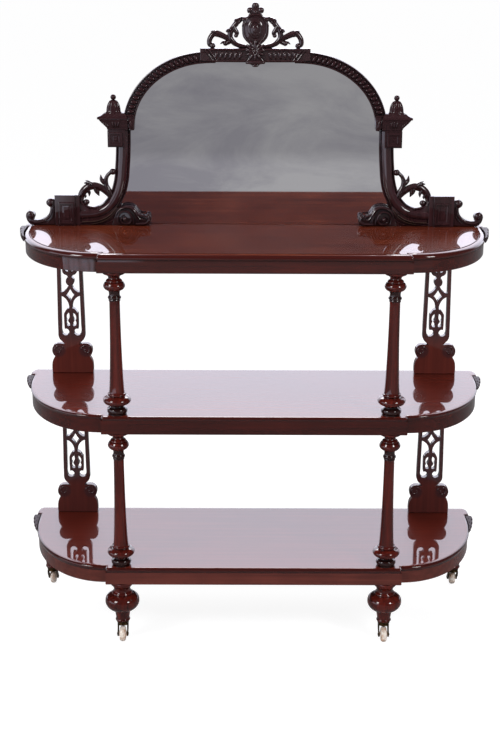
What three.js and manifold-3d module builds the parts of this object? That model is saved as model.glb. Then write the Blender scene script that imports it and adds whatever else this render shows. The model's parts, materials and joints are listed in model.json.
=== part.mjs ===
// Three-tier mahogany etagere with a shaped mirror back, standing on four castors.
// Millimetres, +Z up, front towards -Y, origin on the floor under the middle.
import * as THREE from 'three';
import { mergeVertices } from 'three/addons/utils/BufferGeometryUtils.js';
import Module from 'manifold-3d';

const wasm = await Module();
wasm.setup();

// Fits
const seatGap = 0.3;
const runningGap = 0.4;
const overrun = 4;

// Shelves, as seen in plan
const shelfDepth = 385;
const centreHalf = 362;
const breakStep = 6;
const endReach = 204;
const endStraight = 40;
const rearDepth = 45;
const rearStep = 10;
const cornerDepth = 25;
const cornerWidth = 13;

// Shelves, as seen from the front
const bayPitch = 390;
const edgeHeight = 44.5;
const tierNames = ['bottom', 'middle', 'top'];
const bottomBoard = 13;
const middleBoard = 10;
const topBoard = 18;
const boardRound = 4;
const railInset = 3;
const railThickness = 20;
const cornerBlockDepth = 59;
const cornerBlockWidth = 76;
const rearBlockWidth = 168;
const rearBlockDepth = 85;

// Carved ears along the shelf ends
const earLength = 138;
const earWidth = 19;
const earHeight = 26;
const earTip = 1;

// Castors
const wheelRadius = 19;
const wheelWidth = 18.4;
const wheelSideGap = 0.8;
const axleRadius = 2.5;
const legThickness = 3.4;
const legHalfWidth = 6.5;
const crownThickness = 5;
const crownGap = 2.5;
const trail = 10;
const pintleRadius = 4;
const pintleLength = 34;
const cupRadius = 15;
const cupHeight = 7;
const cupFloor = 2.2;

// Turned feet
const footHeight = 106.7;
const footRadius = 42;
const ankleHeight = 4.5;
const ankleRadius = 12.6;
const frontFootInset = 38;
const frontFootSetback = 28;
const rearFootInset = 36;
const rearFootSetback = 50;

// Turned columns
const columnRadius = 30.6;
const dowelRadius = 9;
const dowelLength = 18;
const stubLength = 8;

// Pierced rear supports
const fretInset = 108;
const fretWidth = 107;
const fretThickness = 18;
const fretSetback = 18;
const fretBar = 7;
const stileWidth = 9.4;
const headerHeight = 20;

// Mirror back
const frameThickness = 24;
const frameSetback = 27;
const glassThickness = 4;
const backBoardThickness = 8;
const openingStep = 10;
const uprightSweep = 128;
const plinthWidth = 63;
const plinthHeight = 76.4;
const plinthProud = 4;
const panelWidth = 32;
const panelHeight = 56;
const panelDepth = 2.5;
const uprightHeight = 235;
const archCentreX = 110;
const archRise = 5;
const archOuterReach = 216;
const archOuterRise = 186;
const archWidth = 30;
const glassLap = 14;
const glassSideLap = 29;
const boardLap = 23;

// Crown rail and crest
const railHalf = 133;
const railHeight = 32.5;
const railBottom = 400;
const crestHalf = 116;
const crestHeight = 107;
const crestThickness = 16;
const crestBand = 8.5;
const bossProud = 8;
const bossDrop = 44;
const bossHalf = 24;

// Capitals and finials
const capitalHeight = 78;
const capitalWidth = 34;
const abacusReach = 19.5;
const abacusHeight = 13;
const capitalProud = 8;
const finialRadius = 19;
const finialHeight = 46;

// Scroll brackets beside the uprights
const bracketThickness = 16;
const outerScrollReach = 74;
const outerScrollHeight = 66;
const curlRadius = 10;
const innerScrollReach = 134;
const innerScrollHeight = 58;
const leafReach = 80;
const leafHeight = 92;
const leafBand = 7.5;
const leafCurl = 7;

// Places worked out from the sizes above
const frontY = (footRadius - frontFootSetback - shelfDepth) / 2;
const backY = frontY + shelfDepth;
const endDepth = shelfDepth - rearDepth - endStraight - breakStep;
const endCentreY = frontY + breakStep + endDepth;
const stepY = backY - rearDepth;
const rearHalf = centreHalf + endReach + rearStep;
const frontFootX = centreHalf - frontFootInset;
const rearFootX = rearHalf - rearFootInset;
const fretX = rearHalf - fretInset;
const crownBottom = 2 * wheelRadius + crownGap;
const cupBottom = crownBottom + crownThickness + seatGap;
const footBottom = cupBottom + cupHeight;
const tierTop = tierNames.map((name, i) => footBottom + footHeight + edgeHeight + i * bayPitch);
const boardThickness = [bottomBoard, middleBoard, topBoard];
const columnHeight = bayPitch - edgeHeight;
const columnY = frontY + frontFootSetback;
const mirrorZ = tierTop[2];
const frameBackY = backY - frameSetback;
const openingHalf = archCentreX + archOuterReach - archWidth + openingStep;
const plinthInner = openingHalf + uprightSweep;
const glassSide = openingHalf + glassSideLap;
const archCentreZ = uprightHeight + archRise;
const abacusTop = uprightHeight + capitalHeight / 2;
const sides = [['left', -1], ['right', 1]];

// Finishes
const finishes = {
  polished: { color: 0x5a241c, roughness: 0.22, metalness: 0 },
  carved: { color: 0x2c1a18, roughness: 0.38, metalness: 0 },
  glass: { color: 0x8b8b8f, roughness: 0.08, metalness: 0.9 },
  backing: { color: 0x5c4330, roughness: 0.8, metalness: 0 },
  brass: { color: 0x6d5526, roughness: 0.35, metalness: 1 },
  ceramic: { color: 0xe6dfcb, roughness: 0.18, metalness: 0 },
};
const etagere = new THREE.Group();

// A triangle counts only when its three corners differ.
function merged(geometry) {
  const bare = geometry.clone();
  bare.deleteAttribute('normal');
  bare.deleteAttribute('uv');
  const tied = mergeVertices(bare);
  const kept = [];
  const index = tied.index.array;
  for (let i = 0; i < index.length; i += 3) {
    const [a, b, c] = [index[i], index[i + 1], index[i + 2]];
    if (a !== b && b !== c && c !== a) kept.push(a, b, c);
  }
  tied.setIndex(kept);
  return tied;
}

// Turns a closed surface the right way out, by the sign of its volume.
function outward(geometry) {
  const tied = merged(geometry);
  const place = tied.attributes.position;
  const index = tied.index.array;
  const corner = [new THREE.Vector3(), new THREE.Vector3(), new THREE.Vector3()];
  let volume = 0;
  for (let i = 0; i < index.length; i += 3) {
    corner.forEach((point, k) => point.fromBufferAttribute(place, index[i + k]));
    volume += corner[0].dot(corner[1].cross(corner[2]));
  }
  if (volume < 0) index.reverse();
  return tied;
}

function solid(geometry) {
  const tied = outward(geometry);
  const vertProperties = new Float32Array(tied.attributes.position.array);
  const triVerts = new Uint32Array(tied.index.array);
  return new wasm.Manifold(new wasm.Mesh({ numProp: 3, vertProperties, triVerts }));
}

function surface(body) {
  const mesh = body.getMesh();
  const geometry = new THREE.BufferGeometry();
  geometry.setAttribute('position', new THREE.BufferAttribute(mesh.vertProperties, 3));
  geometry.setIndex(new THREE.BufferAttribute(mesh.triVerts, 1));
  geometry.computeVertexNormals();
  return geometry;
}

const join = (geometries) => geometries.map(solid).reduce((all, next) => all.add(next));
const cut = (body, geometries) => geometries.map(solid).reduce((all, next) => all.subtract(next), body);

// Cuts a piece clear of a neighbour by the seat gap on every side, and drops crumbs.
function fitted(body, neighbour) {
  let left = body;
  for (const [dx, dz] of [[0, 0], [1, 0], [-1, 0], [0, 1], [0, -1]]) {
    left = cut(left, [neighbour.clone().translate(dx * seatGap, 0, dz * seatGap)]);
  }
  const bodies = left.decompose().sort((a, b) => b.volume() - a.volume());
  return bodies[0];
}

function place(name, geometry, finish) {
  const material = new THREE.MeshStandardMaterial(finishes[finish]);
  const mesh = new THREE.Mesh(geometry, material);
  mesh.name = name;
  etagere.add(mesh);
  return mesh;
}

const shapeOf = (points) => new THREE.Shape(points.map(([x, y]) => new THREE.Vector2(x, y)));

// A plate lying flat, its underside at z = low.
function lying(points, low, height, round = 0) {
  const settings = { depth: height - 2 * round, bevelEnabled: round > 0 };
  Object.assign(settings, { bevelThickness: round, bevelSize: round, bevelOffset: -round, bevelSegments: 1 });
  return new THREE.ExtrudeGeometry(shapeOf(points), settings).translate(0, 0, low + round);
}

// A plate standing upright across the piece: points are [x, z], the back face is at y = back.
function standing(points, back, thickness, round = 0) {
  const settings = { depth: thickness - 2 * round, bevelEnabled: round > 0 };
  Object.assign(settings, { bevelThickness: round, bevelSize: round, bevelOffset: -round, bevelSegments: 1 });
  const geometry = new THREE.ExtrudeGeometry(shapeOf(points), settings);
  return geometry.rotateX(Math.PI / 2).translate(0, back - round, 0);
}

// A plate standing fore and aft: points are [y, z], its left face is at x = left.
function sideways(points, left, thickness) {
  const geometry = new THREE.ExtrudeGeometry(shapeOf(points), { depth: thickness, bevelEnabled: false });
  return geometry.rotateX(Math.PI / 2).rotateZ(Math.PI / 2).translate(left, 0, 0);
}

// A turned piece about a vertical axis; the profile is a list of [radius, z].
function turned(profile, segments, x, y) {
  const points = profile.map(([r, z]) => new THREE.Vector2(r, z));
  return new THREE.LatheGeometry(points, segments).rotateX(Math.PI / 2).translate(x, y, 0);
}

const rod = (radius, low, high, segments, x, y) =>
  turned([[0, low], [radius, low], [radius, high], [0, high]], segments, x, y);

// A pin along X, or a pad along Y, by its middle.
const crossPin = (radius, length, segments, y, z) =>
  new THREE.CylinderGeometry(radius, radius, length, segments).rotateZ(Math.PI / 2).translate(0, y, z);
const pad = (radius, x, z, back, thickness, segments = 8) =>
  new THREE.CylinderGeometry(radius, radius, thickness, segments).translate(x, back - thickness / 2, z);

// A band of even width that follows a smooth line of [x, z] points.
function ribbon(points, startWidth, endWidth, back, thickness, steps) {
  const line = new THREE.SplineCurve(points.map(([x, z]) => new THREE.Vector2(x, z)));
  const upper = [];
  const lower = [];
  for (let i = 0; i <= steps; i += 1) {
    const at = line.getPoint(i / steps);
    const along = line.getTangent(i / steps);
    const half = THREE.MathUtils.lerp(startWidth, endWidth, i / steps) / 2;
    upper.push([at.x - along.y * half, at.y + along.x * half]);
    lower.unshift([at.x + along.y * half, at.y - along.x * half]);
  }
  return standing([...upper, ...lower], back, thickness);
}

const spread = (shares, width, height, x, z, side = 1) =>
  shares.map(([u, v]) => [side * (x + u * width), z + v * height]);

// The curved end of a shelf, from the front break to the straight side.
function endCurve(inset, side, steps) {
  const points = [];
  for (let i = 0; i <= steps; i += 1) {
    const angle = (Math.PI / 2) * (i / steps);
    const x = centreHalf + (endReach - inset) * Math.sin(angle);
    points.push([side * x, endCentreY - (endDepth - inset) * Math.cos(angle)]);
  }
  return points;
}

function boardHalf(side) {
  const curved = endCurve(0, side, 11);
  const sideX = side * (centreHalf + endReach);
  const rear = [[sideX, stepY], [side * rearHalf, stepY], [side * rearHalf, backY - cornerDepth]];
  const corner = [side * (rearHalf - cornerWidth), backY];
  return [[side * centreHalf, frontY], ...curved, ...rear, corner];
}

// The dowel of each column or foot, as a bored hole that clears it.
const boring = (x, y, low, high) => rod(dowelRadius + seatGap, low, high, 12, x, y);

function board(tier) {
  const top = tierTop[tier];
  const outline = [...boardHalf(1), ...boardHalf(-1).reverse()];
  const slab = lying(outline, top - boardThickness[tier], boardThickness[tier], boardRound);
  const depth = stubLength + seatGap;
  const holes = tier === 2 ? [] : sides.map(([, s]) =>
    boring(s * frontFootX, columnY, top - depth, top + overrun));
  place(`${tierNames[tier]}_shelf_board`, surface(cut(solid(slab), holes)), 'polished');
}

function frontRail(tier) {
  const low = tierTop[tier] - edgeHeight;
  const height = edgeHeight - boardThickness[tier];
  const front = frontY + railInset;
  const half = (s) => [
    [s * centreHalf, front],
    [s * centreHalf, front + cornerBlockDepth],
    [s * (centreHalf - cornerBlockWidth), front + cornerBlockDepth],
    [s * (centreHalf - cornerBlockWidth), front + railThickness],
  ];
  const rail = lying([...half(1), ...half(-1).reverse()], low, height);
  const holes = sides.map(([, s]) =>
    boring(s * frontFootX, columnY, low - overrun, low + dowelLength + seatGap));
  place(`${tierNames[tier]}_front_rail`, surface(cut(solid(rail), holes)), 'polished');
}

// The end rail runs round the curve, carries the rear support on a block and returns along the back.
function endRail(tier, label, side) {
  const low = tierTop[tier] - edgeHeight;
  const height = edgeHeight - boardThickness[tier];
  const outer = endCurve(railInset, side, 11);
  const inner = endCurve(railInset + railThickness, side, 8).reverse();
  outer[0][0] += side * seatGap;
  inner[inner.length - 1][0] += side * seatGap;
  const back = backY - railInset;
  const blockX = side * (rearHalf - rearBlockWidth);
  const blockY = backY - rearBlockDepth;
  const rear = [
    [side * (centreHalf + endReach - railInset), stepY + railInset],
    [side * (rearHalf - railInset), stepY + railInset],
    [side * (rearHalf - railInset), backY - cornerDepth],
    [side * (rearHalf - cornerWidth - railInset), back],
    [side * seatGap / 2, back],
    [side * seatGap / 2, back - railThickness],
    [blockX, back - railThickness],
    [blockX, blockY],
  ];
  const rail = lying([...outer, ...rear, ...inner], low, height);
  const x = side * rearFootX;
  const hole = boring(x, backY - rearFootSetback, low - overrun, low + dowelLength + seatGap);
  const body = cut(solid(rail), tier === 0 ? [hole] : []);
  place(`${tierNames[tier]}_end_rail_${label}`, surface(body), 'polished');
}

// A leaf that hugs the curved end and swells towards the rear step; the share bends its swell.
const earSwellShare = 1.4;

function ear(tier, label, side) {
  const inner = [];
  const outer = [];
  const steps = 8;
  for (let i = 0; i <= steps; i += 1) {
    const y = stepY - seatGap - earLength * (1 - i / steps);
    const lift = Math.max(0, endCentreY - y) / endDepth;
    const x = centreHalf + endReach * Math.sqrt(1 - lift * lift) + seatGap;
    inner.unshift([side * x, y]);
    const swell = (earWidth - earTip - seatGap) * (i / steps) ** earSwellShare;
    outer.push([side * (x + earTip + swell), y]);
  }
  const low = tierTop[tier] - earHeight;
  place(`${tierNames[tier]}_leaf_ear_${label}`, lying([...outer, ...inner], low, earHeight), 'carved');
}

// Turned column: [share of the widest radius, share of the height], from the foot up.
const columnShares = [
  [0.735, 0], [0.735, 0.02], [0.45, 0.038], [0.45, 0.056], [0.82, 0.068], [1, 0.09], [0.97, 0.106],
  [0.74, 0.124], [0.71, 0.143], [0.6, 0.155], [0.523, 0.241], [0.438, 0.49], [0.402, 0.79],
  [0.51, 0.812], [0.51, 0.832], [0.415, 0.852], [0.5, 0.876], [0.76, 0.892], [0.814, 0.912],
  [0.7, 0.934], [0.43, 0.96], [0.78, 0.984], [0.85, 1],
];

function column(name, x, low) {
  const profile = columnShares.map(([r, z]) => [r * columnRadius, low + z * columnHeight]);
  const bottom = [[0, low - stubLength], [dowelRadius, low - stubLength], [dowelRadius, low]];
  const high = low + columnHeight;
  const top = [[dowelRadius, high], [dowelRadius, high + dowelLength], [0, high + dowelLength]];
  place(name, outward(turned([...bottom, ...profile, ...top], 12, x, columnY)), 'polished');
}

// Turned foot: a bun between a flared flange and a tapered ankle.
const footShares = [
  [0.414, 0], [0.42, 0.035], [0.393, 0.07], [0.469, 0.25], [0.62, 0.272], [0.85, 0.35], [0.97, 0.43],
  [1, 0.507], [0.96, 0.58], [0.8, 0.645], [0.6, 0.672], [0.57, 0.72], [0.495, 0.76], [0.5, 0.84],
  [0.6, 0.93], [0.62, 1],
];

function foot(name, x, y) {
  const profile = footShares.map(([r, z]) => [r * footRadius, footBottom + z * footHeight]);
  const sole = footBottom - ankleHeight;
  const bottom = [[0, sole], [ankleRadius, sole], [ankleRadius, footBottom]];
  const high = footBottom + footHeight;
  const top = [[dowelRadius, high], [dowelRadius, high + dowelLength], [0, high + dowelLength]];
  const body = solid(turned([...bottom, ...profile, ...top], 12, x, y));
  const reach = cupBottom + pintleLength + seatGap;
  const bore = rod(pintleRadius + seatGap, sole - overrun, reach, 12, x, y);
  place(name, surface(cut(body, [bore])), 'polished');
}

// Brass cup under the foot, bored for the pintle.
function castorCup(name, x, y) {
  const inner = pintleRadius + runningGap;
  const floor = cupBottom + cupFloor;
  const wall = ankleRadius + seatGap;
  const profile = [
    [inner, cupBottom], [cupRadius, cupBottom], [cupRadius, footBottom - seatGap],
    [wall, footBottom - seatGap], [wall, floor], [inner, floor], [inner, cupBottom],
  ];
  place(name, outward(turned(profile, 12, x, y)), 'brass');
}

// Fork with its pintle above and its riveted axle below; the wheel trails by the given offset.
function castorFork(name, x, y, offset) {
  const half = wheelWidth / 2 + wheelSideGap;
  const way = Math.sign(offset);
  const top = crownBottom + crownThickness;
  const legPoints = [
    [-way * legHalfWidth, top], [-way * legHalfWidth, crownBottom],
    [offset - way * legHalfWidth, wheelRadius], [offset - way * legHalfWidth / 2, wheelRadius - legHalfWidth],
    [offset + way * legHalfWidth / 2, wheelRadius - legHalfWidth], [offset + way * legHalfWidth, wheelRadius],
    [offset, crownBottom], [offset, top],
  ];
  const parts = [
    rod(half + legThickness, crownBottom, top, 12, 0, 0),
    rod(pintleRadius, crownBottom + crownThickness / 2, top + pintleLength, 12, 0, 0),
    sideways(legPoints, half, legThickness),
    sideways(legPoints, -half - legThickness, legThickness),
    crossPin(axleRadius, 2 * half + legThickness, 12, offset, wheelRadius),
  ];
  place(name, surface(join(parts).translate([x, y, 0])), 'brass');
}

// Ceramic wheel: [share of the radius, share of half the width], round its section.
const wheelShares = [
  [0.42, -1], [0.46, -0.75], [0.88, -0.85], [1, -0.5], [1, 0.5], [0.88, 0.85], [0.46, 0.75], [0.42, 1],
];

function castorWheel(name, x, y) {
  const bore = axleRadius + runningGap;
  const half = wheelWidth / 2;
  const rim = wheelShares.map(([r, t]) => [r * wheelRadius, t * half]);
  const section = [[bore, -half], ...rim, [bore, half], [bore, -half]];
  const wheel = turned(section, 16, 0, 0).rotateY(Math.PI / 2).translate(x, y, wheelRadius);
  place(name, outward(wheel), 'ceramic');
}

// Outline of the pierced support: [share of half the width, share of the height], right half.
const fretEdgeShares = [
  [1, 0], [1, 0.075], [0.93, 0.105], [0.8, 0.13], [0.94, 0.15], [1, 0.18], [0.93, 0.215],
  [0.7, 0.232], [0.48, 0.228], [0.37, 0.222], [0.55, 0.27], [0.63, 0.31], [0.58, 1],
];
// Centre lines of the fretwork bars inside the window, right half.
const fretLoopShares = [
  [[0, 0.5], [0.2, 0.49], [0.33, 0.455], [0.33, 0.4], [0.3, 0.345], [0, 0.345]],
  [[0, 0.665], [0.16, 0.635], [0.47, 0.607]],
  [[0, 0.545], [0.16, 0.578], [0.47, 0.607]],
  [[0, 0.755], [0.17, 0.785], [0.34, 0.81], [0.34, 0.87], [0.2, 0.905], [0, 0.92]],
];
const fretBossShares = [[0, 0.405, 0.17], [0, 0.705, 0.19], [0, 0.84, 0.13]];
const fretWindowLowShare = 0.297;

function fret(name, x, low) {
  const half = fretWidth / 2;
  const back = backY - fretSetback;
  const at = ([u, v], s) => [x + s * u * half, low + v * columnHeight];
  const edge = [...fretEdgeShares.map((p) => at(p, 1)), ...fretEdgeShares.map((p) => at(p, -1)).reverse()];
  const windowHalf = fretEdgeShares.at(-1)[0] * half - stileWidth;
  const windowLow = low + fretWindowLowShare * columnHeight;
  const windowHigh = low + columnHeight - headerHeight;
  const opening = (windowHalf * 2) / 3;
  const window = [
    [x - opening, windowLow], [x + opening, windowLow], [x + windowHalf, windowLow + fretBar],
    [x + windowHalf, windowHigh], [x - windowHalf, windowHigh], [x - windowHalf, windowLow + fretBar],
  ];
  const plate = cut(solid(standing(edge, back, fretThickness)),
    [standing(window, back + overrun, fretThickness + 2 * overrun)]);
  const stem = [[x, windowLow - fretBar], [x, (windowLow + windowHigh) / 2], [x, windowHigh + fretBar]];
  const bars = [ribbon(stem, fretBar, fretBar, back, fretThickness, 2)];
  for (const loop of fretLoopShares) {
    for (const s of [1, -1]) {
      const line = loop.map((p) => at(p, s));
      bars.push(ribbon(line, fretBar, fretBar, back, fretThickness, 2 * loop.length - 3));
    }
  }
  for (const [u, v, r] of fretBossShares) {
    const [bossX, bossZ] = at([u, v], 1);
    bars.push(pad(r * half, bossX, bossZ, back, fretThickness));
  }
  place(name, surface(plate.add(join(bars))), 'polished');
}

// Upright with its plinth: shares of the sweep inwards and of the height, from the plinth in and up.
const uprightOuterShares = [
  [0, 0.142], [0.18, 0.155], [0.336, 0.185], [0.496, 0.255], [0.609, 0.355], [0.677, 0.491],
  [0.698, 0.627], [0.722, 0.8],
];
const uprightInnerShares = [
  [1, 1], [0.995, 0.793], [0.977, 0.627], [0.953, 0.459], [0.887, 0.342], [0.805, 0.255],
  [0.644, 0.134], [0.487, 0.066], [0.297, 0.023], [0.14, 0],
];
const capitalLowShare = 0.838;

function uprightOutline(side) {
  const curve = (shares) => spread(shares, -uprightSweep, uprightHeight, plinthInner, mirrorZ, side);
  const shoulder = openingHalf + archWidth - archRise;
  const outerX = plinthInner + plinthWidth;
  return [
    [side * outerX, mirrorZ],
    [side * outerX, mirrorZ + plinthHeight],
    [side * plinthInner, mirrorZ + plinthHeight],
    ...curve(uprightOuterShares),
    [side * (shoulder + archRise), mirrorZ + capitalLowShare * uprightHeight],
    [side * shoulder, mirrorZ + capitalLowShare * uprightHeight],
    [side * shoulder, mirrorZ + uprightHeight],
    ...curve(uprightInnerShares),
  ];
}

function upright(label, side) {
  const body = solid(standing(uprightOutline(side), frameBackY, frameThickness));
  const middle = plinthInner + plinthWidth / 2;
  const low = mirrorZ + (plinthHeight - panelHeight) / 2;
  const front = frameBackY - frameThickness;
  const slab = new THREE.BoxGeometry(plinthWidth, plinthProud * 2, plinthHeight);
  slab.translate(side * middle, front, mirrorZ + plinthHeight / 2);
  const panel = new THREE.BoxGeometry(panelWidth, panelDepth * 2, panelHeight);
  panel.translate(side * middle, front - plinthProud, low + panelHeight / 2);
  place(`mirror_upright_${label}`, surface(cut(body.add(solid(slab)), [panel])), 'polished');
}

// Quarter of the arch at the given set-off from its outer edge.
function archCurve(setOff, side, steps, from = 0) {
  const points = [];
  for (let i = 0; i <= steps; i += 1) {
    const angle = THREE.MathUtils.lerp(from, Math.PI / 2, i / steps);
    const x = archCentreX + (archOuterReach - setOff) * Math.sin(angle);
    points.push([side * x, mirrorZ + archCentreZ + (archOuterRise - setOff) * Math.cos(angle)]);
  }
  return points;
}

function arch(label, side) {
  const startX = railHalf + seatGap - archCentreX;
  const outerFrom = Math.asin(startX / archOuterReach);
  const innerFrom = Math.asin(startX / (archOuterReach - archWidth));
  const outer = archCurve(0, side, 14, outerFrom);
  const inner = archCurve(archWidth, side, 14, innerFrom).reverse();
  const low = mirrorZ + uprightHeight;
  const foot = [
    [side * (archCentreX + archOuterReach), low],
    [side * (archCentreX + archOuterReach - archWidth), low],
  ];
  const band = standing([...outer, ...foot, ...inner], frameBackY, frameThickness, boardRound);
  place(`mirror_arch_${label}`, outward(band), 'carved');
}

function glassOutline(lap, sideX) {
  const half = (s) => [
    ...archCurve(archWidth - lap, s, 10),
    [s * (archCentreX + archOuterReach - archWidth + lap), mirrorZ + uprightHeight * capitalLowShare],
    [s * sideX, mirrorZ + uprightHeight / 2],
    [s * sideX, mirrorZ],
  ];
  return [...half(1), ...half(-1).reverse()];
}

function mirror() {
  const glassBack = frameBackY + seatGap + glassThickness;
  const boardBack = glassBack + seatGap + backBoardThickness;
  const glass = standing(glassOutline(glassLap, glassSide), glassBack, glassThickness);
  place('mirror_glass', outward(glass), 'glass');
  const boardSide = glassSide + boardLap - glassLap;
  const backing = standing(glassOutline(boardLap, boardSide), boardBack, backBoardThickness);
  place('mirror_back_board', outward(backing), 'backing');
}

function crownRail() {
  const rail = new THREE.BoxGeometry(2 * railHalf, frameThickness, railHeight);
  const z = mirrorZ + railBottom + railHeight / 2;
  place('crown_rail', rail.translate(0, frameBackY - frameThickness / 2, z), 'carved');
}

// Crest: shares of half the width and of the height, right half.
const shieldShares = [
  [0, 0], [0.2, 0.03], [0.25, 0.2], [0.27, 0.34], [0.28, 0.52], [0.25, 0.6], [0.29, 0.68], [0.17, 0.68],
  [0.1, 0.76], [0.09, 0.84], [0.06, 0.92], [0, 0.92],
];
const crestBandShares = [
  [0.2, 0.62], [0.3, 0.66], [0.4, 0.58], [0.46, 0.49], [0.53, 0.4], [0.56, 0.3], [0.54, 0.2], [0.46, 0.1],
  [0.33, 0.04], [0.1, 0.03],
];
const crestScrollShares = [
  [0.54, 0.22], [0.68, 0.26], [0.79, 0.3], [0.88, 0.29], [0.93, 0.22], [0.955, 0.12], [0.94, 0.04],
];
const crestCurlShares = [
  [0.36, 0.57, 0.055], [0.58, 0.38, 0.045], [0.42, 0.29, 0.055], [0.62, 0.15, 0.065], [0.89, 0.07, 0.07],
  [0.14, 0.835, 0.065],
];
const crestStemShares = [[0.42, 0.29], [0.5, 0.33], [0.56, 0.3]];
const crestLobeShare = 0.055;

function crest() {
  const base = mirrorZ + railBottom + railHeight;
  const back = frameBackY - (frameThickness - crestThickness) / 2;
  const across = (shares, s) => spread(shares, crestHalf, crestHeight, 0, base, s);
  const shield = [...across(shieldShares, 1), ...across(shieldShares, -1).reverse()];
  const parts = [standing(shield, back, crestThickness)];
  const lobe = crestHalf * crestLobeShare;
  parts.push(pad(lobe, 0, base + crestHeight - lobe, back, crestThickness));
  for (const s of [1, -1]) {
    parts.push(ribbon(across(crestBandShares, s), crestBand, crestBand, back, crestThickness, 10));
    parts.push(ribbon(across(crestScrollShares, s), crestBand, crestBand, back, crestThickness, 7));
    parts.push(ribbon(across(crestStemShares, s), crestBand / 2, crestBand / 2, back, crestThickness, 3));
    for (const [u, v, r] of crestCurlShares) {
      const [[x, z]] = across([[u, v]], s);
      parts.push(pad(r * crestHalf, x, z, back, crestThickness));
    }
  }
  const front = frameBackY - frameThickness;
  const keystone = [
    [-bossHalf, base + bossHalf / 2], [-bossHalf, base - railHeight / 2], [0, base - bossDrop],
    [bossHalf, base - railHeight / 2], [bossHalf, base + bossHalf / 2],
  ];
  parts.push(standing(keystone, front - seatGap, bossProud));
  const tie = new THREE.BoxGeometry(bossHalf, frameThickness, bossHalf / 2);
  parts.push(tie.translate(0, front + frameThickness / 2 - bossProud, base + bossHalf / 4));
  const below = new THREE.BoxGeometry(2 * railHalf, frameThickness, bossDrop);
  below.translate(0, frameBackY - frameThickness / 2, base - bossDrop / 2);
  place('crest', surface(cut(join(parts), [below])), 'carved');
}

// Capital block under its moulded abacus, and the finial that stands on it.
function capital(label, side) {
  const inner = openingHalf + archWidth - archRise + seatGap;
  const outer = inner + capitalWidth;
  const low = mirrorZ + capitalLowShare * uprightHeight + seatGap;
  const high = mirrorZ + abacusTop;
  const slabLow = high - abacusHeight;
  const cavetto = abacusReach / 3;
  const outline = [
    [inner, low], [outer, low], [outer, slabLow - abacusReach], [outer + cavetto, slabLow - cavetto * 2],
    [outer + cavetto * 2, slabLow - cavetto], [outer + abacusReach, slabLow], [outer + abacusReach, high],
    [inner, high],
  ].map(([x, z]) => [side * x, z]);
  const back = frameBackY;
  const depth = frameThickness + capitalProud;
  place(`capital_${label}`, outward(standing(outline, back, depth)), 'carved');
  finial(label, side * (inner + (capitalWidth + abacusReach) / 2), back - depth / 2, high);
}

const finialShares = [
  [0.84, 0], [0.84, 0.08], [0.62, 0.22], [0.56, 0.4], [0.44, 0.6], [0.22, 0.68], [0.2, 0.72],
  [0.36, 0.8], [0.36, 0.9], [0.2, 0.98],
];

function finial(label, x, y, low) {
  const profile = finialShares.map(([r, z]) => [r * finialRadius, low + z * finialHeight]);
  const ends = [[0, low], ...profile, [0, low + finialHeight]];
  place(`finial_${label}`, outward(turned(ends, 10, x, y)), 'carved');
}

// Outer scroll: shares of its reach and height, from the plinth outwards.
const outerScrollShares = [
  [0, 0], [0, 0.95], [0.1, 1], [0.2, 0.9], [0.2, 0.72], [0.3, 0.5], [0.48, 0.34], [0.62, 0.34],
  [0.78, 0.5], [0.93, 0.42], [0.9, 0.2], [0.78, 0.04], [0.7, 0],
];
const outerCurlShares = [[0.15, 0.84], [0.84, 0.38]];

function outerScroll(label, side) {
  const x = plinthInner + plinthWidth + seatGap;
  const back = frameBackY - (frameThickness - bracketThickness) / 2;
  const outline = spread(outerScrollShares, outerScrollReach, outerScrollHeight, x, mirrorZ, side);
  const parts = [standing(outline, back, bracketThickness)];
  for (const point of outerCurlShares) {
    const [[curlX, curlZ]] = spread([point], outerScrollReach, outerScrollHeight, x, mirrorZ, side);
    parts.push(pad(curlRadius, curlX, curlZ, back, bracketThickness));
  }
  place(`outer_scroll_${label}`, surface(join(parts)), 'carved');
}

// Inner scroll: shares of its reach and height, from the foot of the upright inwards.
const innerScrollShares = [
  [0, 0], [0.15, 0.35], [0.31, 0.75], [0.43, 1], [0.5, 1], [0.6, 0.94], [0.67, 0.83], [0.72, 0.67],
  [0.76, 0.47], [0.82, 0.42], [0.87, 0.5], [0.93, 0.58], [0.99, 0.5], [1, 0.38], [0.97, 0.22],
  [0.89, 0.1], [0.8, 0.02], [0.72, 0],
];

function innerScroll(label, side) {
  const x = plinthInner - uprightSweep * uprightInnerShares.at(-1)[0] - panelDepth;
  const back = frameBackY - (frameThickness - bracketThickness) / 2;
  const root = x - curlRadius * 2;
  const outline = spread(innerScrollShares, -innerScrollReach, innerScrollHeight, root, mirrorZ, side);
  const body = solid(standing(outline, back, bracketThickness));
  const neighbour = standing(uprightOutline(side), frameBackY, frameThickness);
  place(`inner_scroll_${label}`, surface(fitted(body, neighbour)), 'carved');
}

// Pierced leaf between plinth and upright: shares of its reach and height above the upright's sweep.
const leafLoopShares = [
  [0.2, 0.1], [0.1, 0], [0.02, 0.12], [0.04, 0.33], [0.16, 0.53], [0.36, 0.63], [0.6, 0.6], [0.8, 0.47],
  [1, 0.32],
];
const leafStemShares = [[0.84, 0.46], [0.78, 0.7], [0.84, 0.88], [0.97, 0.98]];
const leafCurlShares = [[0.2, 0.12], [0.95, 0.99]];

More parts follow.
